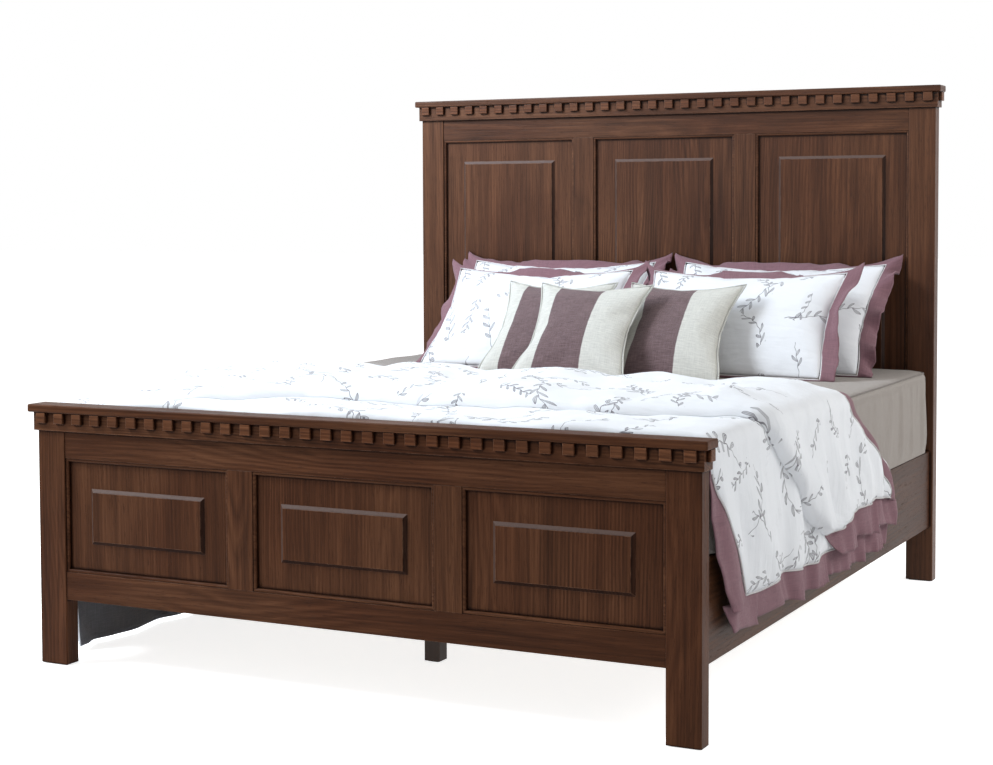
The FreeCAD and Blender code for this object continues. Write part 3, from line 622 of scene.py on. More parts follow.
def banded_weave(settings):
    """Throw pillow cloth: cream ground with a broad plum slub band."""
    finish = Finish("throw_weave")
    place = finish.coordinates("UV")
    x, _, _ = finish.split(place)
    wander = finish.noise(place, 40.0, 2.0) * 0.004 - 0.002
    across = abs(x + settings.band_shift + wander)
    half = 0.19 * settings.band
    band = finish.step(across, half + 0.0015, half - 0.0015)
    slubs = finish.noise(finish.place(place, scale=(0.09, 1, 1)), 300.0, 4.0, 0.68)
    warp = finish.noise(finish.place(place, scale=(1, 0.08, 1)), 330.0, 3.0, 0.6)
    mixed = warp * 0.35 + slubs * 0.65
    plum = tuple(settings.plum)
    cream = tuple(settings.cream)
    plum_tone = finish.ramp(mixed, (0.36, tuple(c * 0.62 for c in plum)),
                            (0.64, tuple(c * 1.45 for c in plum)))
    cream_tone = finish.ramp(mixed, (0.34, tuple(c * 0.82 for c in cream)),
                             (0.62, tuple(min(1.0, c * 1.12) for c in cream)))
    finish.set(Base_Color=finish.mix(band, cream_tone, plum_tone), Roughness=0.84,
               Specular_IOR_Level=0.25, Sheen_Weight=0.18, Sheen_Roughness=0.4)
    finish.bump((mixed, 0.0012), (finish.weave(place, 0.0018), 0.0003))
    return finish.material


def ticking():
    """Knitted mattress cover with a quilted diamond."""
    finish = Finish("mattress_ticking")
    place = finish.coordinates("UV")
    diamonds = finish.weave(finish.place(place, rotation=(0, 0, 0.7854)), 0.09)
    knit = finish.weave(place, 0.0022)
    fleck = finish.noise(place, 300.0, 3.0)
    colour = finish.ramp(fleck, (0.35, (0.52, 0.49, 0.44)), (0.65, (0.70, 0.67, 0.62)))
    finish.set(Base_Color=colour, Roughness=0.9, Specular_IOR_Level=0.2)
    finish.bump((diamonds, 0.004), (knit, 0.0004))
    return finish.material


# -------------------------------------------------------- the mattress's top
class BedTop:
    """Cross-section that the sheet and the duvet follow: s runs from the
    middle of the top out over the shoulder and down the side."""

    half = 0.9222
    deck = 0.6815
    radius = 0.022

    @classmethod
    def fall(cls, z):
        """Distance s at which the bed's side is at height z."""
        return cls.half - cls.radius + cls.radius * math.pi / 2 + cls.deck - cls.radius - z

    @classmethod
    def bend(cls, s):
        """Half width of the flat top, angle round the shoulder and length of
        the hanging part at s."""
        flat = cls.half - cls.radius
        run = np.abs(s) - flat
        turn = np.clip(run / cls.radius, 0, math.pi / 2)
        return flat, turn, np.maximum(run - cls.radius * math.pi / 2, 0)

    @classmethod
    def height(cls, s):
        """Height of the uncovered surface at s."""
        _, turn, hang = cls.bend(s)
        return cls.deck - cls.radius + cls.radius * np.cos(turn) - hang

    @classmethod
    def place(cls, s, y, lift):
        """Points lifted off the bed's surface along its outward direction."""
        flat, turn, hang = cls.bend(s)
        x = np.minimum(np.abs(s), flat) + (cls.radius + lift) * np.sin(turn)
        z = cls.deck - cls.radius + (cls.radius + lift) * np.cos(turn) - hang
        return np.stack([np.sign(s) * x, np.broadcast_to(y, x.shape), z], -1)


# --------------------------------------------------------------- the duvet
class Duvet:
    """Edges and thickness of the duvet's two layers, over the distance s
    across the bed."""

    foot = -1.008
    head = 0.1126
    lower_hem, lower_seam = 0.225, 0.295
    upper_hem, upper_seam = 0.290, 0.376
    left_hem = 0.012
    upper_left_hem = 0.12

    @staticmethod
    def along(s, left, top, right):
        """Value by place: left and right drapes by height, the top by s."""
        pairs = [(-BedTop.fall(z), value) for z, value in left]
        pairs += list(top)
        pairs += [(BedTop.fall(z), value) for z, value in right]
        return np.interp(s, [pair[0] for pair in pairs], [pair[1] for pair in pairs])

    @classmethod
    def foot_edge(cls, s):
        return cls.along(s, ((0.0, -0.972), (0.30, -0.972), (0.60, -1.004)),
                         ((-0.90, cls.foot), (0.90, cls.foot)),
                         ((0.612, cls.foot), (0.538, -1.004), (0.411, -0.980),
                          (0.295, -0.936), (0.225, -0.905)))

    @classmethod
    def foot_seam(cls, s):
        return cls.along(s, ((0.0, -0.910), (0.30, -0.915), (0.60, -1.000)),
                         ((-0.90, cls.foot), (0.90, cls.foot)),
                         ((0.620, cls.foot), (0.567, -0.979), (0.501, -0.931), (0.405, -0.857),
                          (0.324, -0.796), (0.290, -0.765)))

    @classmethod
    def head_edge(cls, s):
        side = ((0.680, 0.104), (0.640, 0.135), (0.585, 0.225), (0.530, 0.312), (0.470, 0.400),
                (0.430, 0.440), (0.388, 0.464), (0.283, 0.448), (0.225, 0.430))
        left = [(z, value) for z, value in reversed(side)]
        return cls.along(s, [(0.0, 0.40)] + left, ((-0.60, cls.head), (0.60, cls.head)), side)

    @classmethod
    def head_seam(cls, s):
        side = ((0.670, 0.040), (0.630, 0.080), (0.583, 0.170), (0.530, 0.245), (0.473, 0.318),
                (0.430, 0.360), (0.397, 0.392), (0.350, 0.402), (0.283, 0.390))
        left = [(z, value) for z, value in reversed(side)]
        return cls.along(s, [(0.0, 0.34)] + left, ((-0.60, 0.048), (0.60, 0.048)), side)

    @classmethod
    def fold_edge(cls, s):
        """Front of the folded-over layer: a full lobe at the left and a
        slanting edge down the right side."""
        return cls.along(s, ((0.0, -0.40), (0.55, -0.42)),
                         ((-0.925, -0.460), (-0.88, -0.560), (-0.82, -0.680), (-0.74, -0.790),
                          (-0.66, -0.850), (-0.57, -0.862), (-0.46, -0.820), (-0.30, -0.745),
                          (-0.10, -0.728), (0.15, -0.736), (0.40, -0.742), (0.60, -0.735),
                          (0.76, -0.690), (0.88, -0.668)),
                         ((0.690, -0.672), (0.644, -0.621), (0.587, -0.544), (0.516, -0.438),
                          (0.457, -0.376), (0.412, -0.298), (0.376, -0.176), (0.290, -0.085)))

    @staticmethod
    def lower_shift(y):
        """How far the lower layer's hem sags below its mean height."""
        return 0.0035 * ripple(51, y, 0 * y, 0.35)

    @staticmethod
    def upper_shift(y):
        return np.interp(y, (-0.20, -0.12, -0.03, 0.01, 0.26, 0.38, 0.46),
                         (0.036, 0.030, 0.014, 0.0, -0.004, 0.010, 0.026))

    @classmethod
    def drape_waves(cls, s, y, seed, depth, pitch=0.19):
        """Outward swell of the hanging part, growing towards the hem."""
        hang = np.maximum(np.abs(s) - BedTop.half, 0)
        grow = smooth((hang + 0.02) / 0.30)
        line = y - 0.22 * hang + 0.045 * ripple(seed, y, 0 * y, 0.7)
        line = line + 0.012 * ripple(seed + 3, y, hang, 0.3)
        swell = 0.5 + 0.5 * np.sin(math.tau * line / pitch)
        small = 0.5 + 0.5 * np.sin(math.tau * line / (pitch * 0.37) + 1.3)
        return depth * grow * (0.78 * swell ** 1.25 + 0.16 * small * (1 - 0.5 * swell) + 0.05)

    @classmethod
    def undulation(cls, s, y, seed):
        """Gentle hills and small wrinkles of the filling."""
        hills = ripple(seed, s, y, 0.42) * 0.0042
        dents = ripple(seed + 1, s, y, 0.17) * 0.0020
        lines = ripple(seed + 2, s, y, 0.075, 1.6) * 0.0007
        return hills + dents + lines

    @classmethod
    def lower_waves(cls, s, y):
        return cls.drape_waves(s, y, 21, 0.027)

    @classmethod
    def upper_waves(cls, s, y):
        return cls.drape_waves(s, y, 41, 0.019, 0.16)

    @classmethod
    def lower_lift(cls, s, y):
        """Outside of the lower layer above the bed's surface."""
        top = smooth((BedTop.half + 0.02 - np.abs(s)) / 0.10)
        loft = 0.0125 + 0.0085 * top
        loft = loft + cls.undulation(s, y, 11) * (0.35 + 0.65 * top)
        slack = smooth((-s - 0.55) / 0.30) * smooth((-0.40 - y) / 0.30)
        loft = loft * (1 - 0.72 * slack * top)
        return np.maximum(loft, 0.0034) + cls.lower_waves(s, y)

    @classmethod
    def upper_lift(cls, s, y):
        """Outside of the folded-over layer: a full round front, a broad
        crest behind it and a thin head edge."""
        top = smooth((BedTop.half + 0.05 - np.abs(s)) / 0.20)
        front = y - cls.fold_edge(s)
        back = cls.head_edge(s) - y
        width = 0.042 + 0.098 * top
        rise = rounded(front / width)
        thin = smooth(back / 0.34)
        crest = 0.5 + 0.5 * np.cos(np.clip(s / 0.95, -1, 1) * math.pi)
        full = 0.042 + 0.008 * crest
        loft = 0.007 + (full - 0.007) * thin
        hang = 0.010 + 0.021 * (1 - smooth((front - 0.035) / 0.19))
        hang = hang * (0.6 + 0.4 * smooth(back / 0.04))
        lift = (loft * top + hang * (1 - top)) * rise
        hills = ripple(31, s, y, 0.36) * 0.0052 + ripple(32, s, y, 0.15) * 0.0022
        hills = hills * smooth(front / 0.10) * smooth(back / 0.12) * (0.3 + 0.7 * top)
        waves = cls.upper_waves(s, y) * smooth(front / 0.09)
        return np.maximum(lift + hills, 0.0025) + waves


def layer_grid(low_s, high_s, front, back, cell):
    """Grid over a layer: s across, and y from its front to its back edge,
    both given as functions of s."""
    s = np.linspace(low_s, high_s, max(8, int((high_s - low_s) / cell)) + 1)
    rows = max(8, int((Duvet.head - Duvet.foot) / cell))
    share = np.linspace(0, 1, rows + 1)
    y = front(s)[None, :] + (back(s) - front(s))[None, :] * share[:, None]
    return np.broadcast_to(s, y.shape).copy(), y


def sag(s, y, shift, seam):
    """Lets the lower part of a drape hang unevenly."""
    return s + shift(y) * smooth((s - BedTop.fall(0.56)) / (seam - BedTop.fall(0.56)))


def rounded(share):
    """Quarter of a circle: steep at 0 and level from 1 on."""
    return np.sqrt(np.clip(1 - (1 - np.clip(share, 0, 1)) ** 2, 0, 1))


def taper(lift, thin, *distances):
    """Brings a quilt down to its seam near the given edges."""
    share = 1.0
    for distance, width in distances:
        share = share * rounded(distance / width)
    return thin + (lift - thin) * share


def pleats(y, folds):
    """Steps of box folds: 0 to 1 along each panel, then back to 0."""
    edges = np.asarray(folds, float)
    index = np.searchsorted(edges, y)
    low = np.concatenate([[edges[0] - 0.3], edges])[index]
    high = np.concatenate([edges, [edges[-1] + 0.3]])[index]
    return ((y - low) / (high - low)) ** 1.6


def duvet_layer(name, s, y, outside, inside):
    """A padded layer on the bed, with its outer grid of points.  The print
    runs by arc length from the head, so that it doesn't smear on a roll."""
    outer = BedTop.place(s, y, outside)
    run = np.linalg.norm(np.diff(outer, axis=0), axis=2)
    arc = y.copy()
    arc[:-1] = y[-1] - np.cumsum(run[::-1], axis=0)[::-1]
    inner = BedTop.place(s, y, inside)
    return closed_sheet(name, outer, inner, np.stack([s, arc], -1)), outer


def ribbon(name, s, y, lift, thickness=0.0032):
    """A flange of doubled cloth on the duvet's surface."""
    outer = BedTop.place(s, y, lift + thickness)
    inner = BedTop.place(s, y, lift)
    return closed_sheet(name, outer, inner, np.stack([y, s], -1))


# ------------------------------------------------------------------- pillows
def cushion_grid(width, height, cell):
    """Points and faces of two sheets that share their rim.  Returns flat
    positions, the side (+1 front, -1 back, 0 rim) and the rim in order."""
    columns = max(6, int(round(width / cell)))
    rows = max(6, int(round(height / cell)))
    u = np.linspace(-width / 2, width / 2, columns + 1)
    v = np.linspace(-height / 2, height / 2, rows + 1)
    grid_u, grid_v = np.meshgrid(u, v)
    front = np.arange((rows + 1) * (columns + 1)).reshape(rows + 1, columns + 1)
    back = front.copy()
    inner = (rows - 1) * (columns - 1)
    back[1:-1, 1:-1] = front.size + np.arange(inner).reshape(rows - 1, columns - 1)
    flat = np.stack([grid_u, grid_v], -1).reshape(-1, 2)
    flat = np.concatenate([flat, np.stack([grid_u, grid_v], -1)[1:-1, 1:-1].reshape(-1, 2)])
    side = np.zeros(len(flat))
    side[front[1:-1, 1:-1].ravel()] = 1
    side[back[1:-1, 1:-1].ravel()] = -1
    faces = []
    for sheet, order in ((front, (0, 1, 2, 3)), (back, (3, 2, 1, 0))):
        quads = np.stack([sheet[:-1, :-1], sheet[:-1, 1:], sheet[1:, 1:], sheet[1:, :-1]], -1)
        faces += quads.reshape(-1, 4)[:, list(order)].tolist()
    rim = np.concatenate([front[0, :-1], front[:-1, -1], front[-1, :0:-1], front[:0:-1, 0]])
    return flat, side, faces, rim


def crowned(flat, side, width, height, thickness, seed, pull):
    """Analytic cushion: full middle, pulled-in seams, small wrinkles."""
    u = flat[:, 0] / (width / 2)
    v = flat[:, 1] / (height / 2)
    dome = np.sqrt(np.clip(1 - np.abs(u) ** 2.6, 0, 1))
    dome = (dome * np.sqrt(np.clip(1 - np.abs(v) ** 2.6, 0, 1))) ** 0.95
    x = flat[:, 0] * (1 - 2 * pull / width * (1 - v * v))
    z = flat[:, 1] * (1 - 2 * pull / height * (1 - u * u))
    puff = 1 + 0.05 * ripple(seed, flat[:, 0], flat[:, 1], 0.2)
    y = -side * thickness / 2 * dome * puff
    return np.stack([x, y, z], -1)


def blown(points, faces, seed, pressure=4.0, frames=20):
    """Lets cloth simulation fill a flat case; returns the settled points."""
    mesh = bpy.data.meshes.new("case")
    mesh.from_pydata([tuple(p) for p in points], [], [tuple(f) for f in faces])
    case = bpy.data.objects.new("case", mesh)
    scene = bpy.context.scene
    scene.collection.objects.link(case)
    cloth = case.modifiers.new("cloth", "CLOTH")
    settings = cloth.settings
    settings.quality = 6
    settings.mass = 0.22
    settings.tension_stiffness = 22.0
    settings.compression_stiffness = 12.0
    settings.shear_stiffness = 9.0
    settings.bending_stiffness = 0.35
    settings.use_pressure = True
    settings.uniform_pressure_force = pressure
    settings.effector_weights.gravity = 0.0
    settings.air_damping = 3.0
    cloth.point_cache.frame_start = 1
    cloth.point_cache.frame_end = frames
    for current in range(1, frames + 1):
        scene.frame_set(current)
    graph = bpy.context.evaluated_depsgraph_get()
    result = case.evaluated_get(graph).to_mesh()
    settled = np.empty(len(result.vertices) * 3)
    result.vertices.foreach_get("co", settled)
    settled = settled.reshape(-1, 3).copy()
    case.evaluated_get(graph).to_mesh_clear()
    scene.frame_set(1)
    bpy.data.objects.remove(case)
    bpy.data.meshes.remove(mesh)
    return settled


def filled(width, height, thickness, seed, cell=0.013, pull=0.012):
    """Cushion points about its middle, upright and facing -Y."""
    flat, side, faces, rim = cushion_grid(width, height, cell)
    points = crowned(flat, side, width, height, thickness, seed, pull)
    start = points.copy()
    start[:, 1] *= 0.35
    start[:, 1] += 0.002 * ripple(seed + 5, flat[:, 0], flat[:, 1], 0.11)
    settled = blown(start, faces, seed)
    centre = (settled.max(0) + settled.min(0)) / 2
    spread = settled.max(0) - settled.min(0)
    if np.isfinite(settled).all() and spread.max() < 2 * width:
        scale = np.array([width, thickness, height]) / spread
        share = np.array([0.35, 0.75, 0.30])
        points = share * (settled - centre) * scale + (1 - share) * points
    v = flat[:, 1] / (height / 2)
    resting = smooth((-v - 0.35) / 0.65)
    points[:, 2] += resting * 0.9 * (flat[:, 1] - points[:, 2])
    points[:, 0] += resting * 0.5 * (flat[:, 0] - points[:, 0])
    return flat, points, faces, rim


def stand(points, lean, x, base_y, base_z, height):
    """Tips points back about the lower seam and puts that seam in place."""
    y = points[:, 1]
    z = points[:, 2] + height / 2
    return np.stack([
        points[:, 0] + x,
        y * math.cos(lean) + z * math.sin(lean) + base_y,
        z * math.cos(lean) - y * math.sin(lean) + base_z,
    ], -1)


def seam_flange(width, height, seam, flange, seed, style):
    """Ring of cloth from a pillow's seam out to a pointed, fluted edge.  The
    top flops back between its corners and the sides curl."""
    u = seam[:, 0] / np.abs(seam[:, 0]).max()
    v = seam[:, 2] / np.where(seam[:, 2] > 0, seam[:, 2].max(), -seam[:, 2].min())
    out_x = np.clip(u * 1.03, -1, 1) * width / 2
    out_z = np.clip(v * 1.03, -1, 1) * height / 2
    upper = smooth((v - 0.80) / 0.15)
    lower = smooth((-v - 0.80) / 0.15)
    sides = smooth((np.abs(u) - 0.84) / 0.12) * (1 - upper) * (1 - lower)
    inward = 0.010 * (1 - np.minimum(np.abs(u), 1) ** 2)
    out_z = out_z - np.sign(v) * inward * np.maximum(upper, lower)
    phases = np.random.default_rng(seed).uniform(0, math.tau, 6)

    def flutes(along, long, short, share, phase):
        waves = np.sin(math.tau * along / long + phases[phase])
        return waves + share * np.sin(math.tau * along / short + phases[phase + 1])

    flute = flutes(seam[:, 0], 0.150, 0.083, 0.6, 0)
    flute_side = flutes(seam[:, 2], 0.135, 0.07, 0.5, 2)
    flop = upper * np.clip(1 - np.abs(u) ** 3.5, 0, 1)
    if style == "rear":
        angle = flop * (1.05 + 0.30 * flute) + sides * (0.45 + 0.55 * flute_side)
    else:
        angle = flop * (2.2 + 0.15 * flute)
        pinch = 0.10 + 1.15 * np.exp(-((v - 0.06) / 0.30) ** 2) + 0.14 * flute_side
        angle = angle + sides * np.where(u > 0, -pinch, 1.05 + 0.25 * flute_side)
    tucked = lower * np.clip(1 - np.abs(u) ** 10, 0, 1)
    out_z = out_z + tucked * (seam[:, 2] - flange - out_z)
    angle = angle + tucked * 2.6
    rings = []
    reach_x, reach_z = out_x - seam[:, 0], out_z - seam[:, 2]
    reach = np.hypot(reach_x, reach_z)
    steps = 9
    x, y, z = seam[:, 0].copy(), seam[:, 1].copy(), seam[:, 2].copy()
    for step in range(steps + 1):
        rings.append(np.stack([x, y, z], -1))
        bent = angle * min(1.0, (step + 1) / (0.55 * steps))
        x = x + reach_x / steps * np.cos(bent)
        z = z + reach_z / steps * np.cos(bent)
        y = y + reach / steps * np.sin(bent)
    return np.stack(rings, 0)


def flange_piece(name, grid, thickness=0.003):
    """Closed ring of doubled cloth from a grid of rings."""
    around = np.roll(grid, -1, 1) - np.roll(grid, 1, 1)
    normal = np.cross(around, np.gradient(grid, axis=0))
    normal /= np.linalg.norm(normal, axis=2)[:, :, None] + 1e-12
    half = normal * thickness / 2
    travel = np.concatenate([[0], np.cumsum(np.linalg.norm(np.diff(grid[0], axis=0), axis=1))])
    out = np.linspace(0, 0.045, len(grid))
    uv = np.stack(np.broadcast_arrays(travel[None, :], out[:, None]), -1)
    return doubled_ring(name, grid + half, grid - half, uv)


def cushion(node, placed, faces, flat, cloth):
    """A filled cushion in place of the node's solid."""
    body = new_piece(node + "_cushion", placed, faces, flat)
    settle(body, "mattress", cloth, [node])
    smoother = body.modifiers.new("round", "SUBSURF")
    smoother.levels = 1
    smoother.render_levels = 1
    return body


# ----------------------------------------------------------------- operators
class BED_OT_wood(bpy.types.Operator):
    """Stained oak on the frame, softwood on the slats, steel on the hooks"""

    bl_idname = "panel_bed.wood"
    bl_label = "Finish Wood and Metal"

    def execute(self, context):
        settings = context.scene.bed_oak
        grains = {}
        for board in BOARDS:
            for part in ("post_left", "post_right", "mullion_left", "mullion_right",
                         "panel_left", "panel_centre", "panel_right"):
                grains[board + "_" + part] = "Z"
            for part in ("top_rail", "bottom_rail", "panel_beads", "frieze", "dentils", "cap"):
                grains[board + "_" + part] = "X"
        grains["side_rail_left"] = "Y"
        grains["side_rail_right"] = "Y"
        for index, (node, grain) in enumerate(grains.items()):
            # tone: the dentils are made lighter; the side rails darker, as painted shade; the
            # headboard lighter, as painted light
            tone = 1.55 if "dentils" in node else 0.7 if "side_rail" in node else 1.0
            tone *= 1.10 if node.startswith("headboard") else 1.0
            heart = self.heart(node, grain, index)
            self.paint(node, oak("oak_" + node, grain, heart, index, settings, tone))
        soft = {"slats": "X", "slat_cleat_left": "Y", "slat_cleat_right": "Y",
                "centre_beam": "Y", "centre_legs": "Z"}
        for node, grain in soft.items():
            # the centre legs are tinted near black
            tint_factor = (0.05, 0.03, 0.025) if node == "centre_legs" else (1.0, 1.0, 1.0)
            self.paint(node, pine("pine_" + node, grain, tint_factor))
        steel, plastic = zinc_steel(), glide_plastic()
        for node in ("rail_hook_plates", "post_slot_plates", "beam_bracket_foot",
                     "beam_bracket_head"):
            self.paint(node, steel)
        for node in ("post_glides", "centre_leg_glides"):
            self.paint(node, plastic)
        return {"FINISHED"}

    @staticmethod
    def heart(node, grain, seed):
        """A line along the grain, a little behind the board's face, round
        which the year rings of that board run."""
        draw = np.random.default_rng(100 + seed)
        low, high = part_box(node)
        middle = [(a + b) / 2 for a, b in zip(low, high)]
        axis = "XYZ".index(grain)
        others = [index for index in range(3) if index != axis]
        slim = min(others, key=lambda index: high[index] - low[index])
        wide = [index for index in others if index != slim][0]
        side = 1 if node.startswith("side_rail_left") or slim == 1 else -1
        middle[slim] += side * float(draw.uniform(0.05, 0.12))
        middle[wide] += float(draw.uniform(-0.35, 0.35)) * (high[wide] - low[wide])
        return middle

    @staticmethod
    def paint(node, material):
        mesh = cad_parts[node].data
        mesh.materials.clear()
        mesh.materials.append(material)


class BED_OT_mattress(bpy.types.Operator):
    """Mattress with rounded edges and its fitted sheet"""

    bl_idname = "panel_bed.mattress"
    bl_label = "Make Mattress and Sheet"

    def execute(self, context):
        settings = context.scene.bed_bedding
        self.mattress()
        self.sheet(settings)
        return {"FINISHED"}

    @staticmethod
    def ring(low, high, half, radius, z, count):
        """Rounded rectangle of points at one height."""
        straight_x = 2 * (half - radius)
        straight_y = high - low - 2 * radius
        arc = radius * math.pi / 2
        total = 2 * (straight_x + straight_y) + 4 * arc
        places = np.linspace(0, total, count, endpoint=False)
        points = []
        for run in places:
            for side, length in enumerate((straight_x, arc, straight_y, arc) * 2):
                if run <= length:
                    break
                run -= length
            quarter = side // 2
            if side % 2 == 0:
                share = run / max(length, 1e-9)
                point = (
                    (-half + radius + share * straight_x, low),
                    (half, low + radius + share * straight_y),
                    (half - radius - share * straight_x, high),
                    (-half, high - radius - share * straight_y))[quarter]
            else:
                angle = -math.pi / 2 + quarter * math.pi / 2 + run / radius
                centre = ((half - radius, low + radius), (half - radius, high - radius),
                          (-half + radius, high - radius), (-half + radius, low + radius))[quarter]
                point = (centre[0] + radius * math.cos(angle), centre[1] + radius * math.sin(angle))
            points.append((*point, z))
        return np.array(points), places

    def mattress(self):
        low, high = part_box("mattress")
        count = 520
        profile = []
        inner = 0.889
        for z, half, inset in (
                (low.z, inner - 0.012, 0.012), (low.z + 0.006, inner - 0.003, 0.003),
                (low.z + 0.016, inner, 0.0), (0.4175, inner, 0.0), (0.4225, inner + 0.006, 0.0),
                (0.4275, high.x - 0.008, 0.0), (0.434, high.x - 0.001, 0.0),
                (0.50, high.x, 0.0), (0.60, high.x, 0.0), (high.z - 0.022, high.x - 0.0006, 0.0008),
                (high.z - 0.011, high.x - 0.004, 0.004), (high.z - 0.004, high.x - 0.011, 0.011),
                (high.z - 0.0006, high.x - 0.022, 0.022), (high.z, high.x - 0.040, 0.040)):
            points, places = self.ring(low.y + inset, high.y - inset, half, 0.058, z, count)
            profile.append(points)
        for inset in (0.2, 0.4, 0.6, 0.8):
            points, places = self.ring(low.y + inset, high.y - inset, high.x - inset,
                                       max(0.058 * (1 - inset), 0.02), high.z, count)
            profile.append(points)
        grid = np.stack(profile)
        rows = len(profile)
        faces = ring_faces(rows, count)
        faces.append(tuple(range(count)))
        faces.append(tuple((rows - 1) * count + j for j in range(count)))
        rise = np.cumsum(np.concatenate([[0], np.linalg.norm(np.diff(grid[:, 0], axis=0), axis=1)]))
        uv = np.stack(np.broadcast_arrays(places[None, :], rise[:, None]), -1)
        block = new_piece("mattress_body", grid.reshape(-1, 3), faces, uv.reshape(-1, 2))
        cover = ticking()
        settle(block, "mattress", cover, ["mattress"])
        tape = plain_cotton("mattress_tape", (0.36, 0.33, 0.29))
        for name, z, half, inset in (
                ("mattress_tape_top", high.z - 0.0065, high.x - 0.0065, 0.0065),
                ("mattress_tape_low", low.z + 0.008, inner - 0.004, 0.004)):
            line, _ = self.ring(low.y + inset, high.y - inset, half, 0.055, z, 300)
            piping = tube(name, line, 0.0025, closed=True)
            settle(piping, "mattress", tape)

    def sheet(self, settings):
        low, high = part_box("fitted_sheet")
        count = 900
        profile = []
        steps = [(low.z + 0.001, 0.0004), (low.z + 0.006, 0.0), (0.4206, 0.0), (0.4208, 0.006),
                 (0.4214, 0.0022), (0.4232, 0.0), (0.428, 0.0), (0.45, 0.0), (0.48, 0.0),
                 (0.51, 0.0), (0.54, 0.0), (0.57, 0.0), (0.60, 0.0), (0.625, 0.0), (0.645, 0.0002),
                 (high.z - 0.020, 0.0008), (high.z - 0.013, 0.0028), (high.z - 0.007, 0.0066),
                 (high.z - 0.003, 0.0118), (high.z - 0.0008, 0.020), (high.z - 0.0002, 0.035),
                 (high.z, 0.060), (high.z, 0.10), (high.z, 0.15)]
        for z, inset in steps:
            half = high.x - inset
            if z < 0.4207:
                half = 0.8895
            points, _ = self.ring(low.y + inset, high.y - inset, half, 0.060, z, count)
            profile.append(points)
        for inset in np.arange(0.18, 0.92, 0.03):
            points, _ = self.ring(low.y + inset, high.y - inset, high.x - inset,
                                  max(0.060 * (1 - inset), 0.004), high.z, count)
            profile.append(points)
        grid = np.stack(profile)
        z = grid[:, :, 2]
        side_face = (np.abs(grid[:, :, 0]) > high.x - 0.012)[:, :, None]
        direction = np.where(side_face, np.sign(grid[:, :, :1]) * np.array([1.0, 0.0]), 0.0)
        hang = smooth((z - 0.424) / 0.04) * smooth((high.z - 0.004 - z) / 0.05)
        y = grid[:, :, 1]
        pull = ripple(61, y, z, 0.085, 5.0) * 0.5 + ripple(62, y, z, 0.21, 4.0) * 0.5
        depth = (0.0022 + 0.0055 * smooth((y - 0.45) / 0.12)) * hang
        grid[:, :, :2] += direction * (depth * np.clip(pull + 0.6, 0, 2))[:, :, None]
        flat = z > high.z - 0.0015
        swell = np.clip(ripple(63, grid[:, :, 0], y, 0.30) * 0.5 + 0.5, 0, 1.5) * 0.0014
        fine = np.clip(ripple(64, grid[:, :, 0], y, 0.09, 2.5) + 0.4, 0, 2) * 0.0006
        open_part = smooth((y - Duvet.head - 0.02) / 0.08)
        rise = (swell + fine) * flat * open_part
        grid[:, :, 2] += rise
        lining = 0.0008
        inner = grid.copy()
        inner[:, :, 2] -= lining * flat
        inner[:, :, 0] -= np.sign(inner[:, :, 0]) * lining * (~flat)
        inner[:, :, 1] -= np.sign(inner[:, :, 1] - (low.y + high.y) / 2) * lining * (~flat)
        uv = grid[:, :, :2].copy()
        side_rows = z < high.z - 0.03
        uv[:, :, 0] = np.where(side_rows, grid[:, :, 0] + (high.z - z), grid[:, :, 0])
        cloth = doubled_ring("fitted_sheet_cloth", grid, inner, uv, capped=True)
        beige = plain_cotton("sheet_cotton", tuple(settings.beige), 0.0028, 0.10)
        settle(cloth, "mattress", beige, ["fitted_sheet"])
        line, _ = self.ring(low.y + 0.0058, high.y - 0.0058, high.x - 0.0058, 0.058,
                            high.z - 0.0058, 420)
        piping = tube("fitted_sheet_seam", line, 0.0026, closed=True)
        dark = plain_cotton("sheet_seam", tuple(0.62 * c for c in settings.beige))
        settle(piping, "mattress", dark)


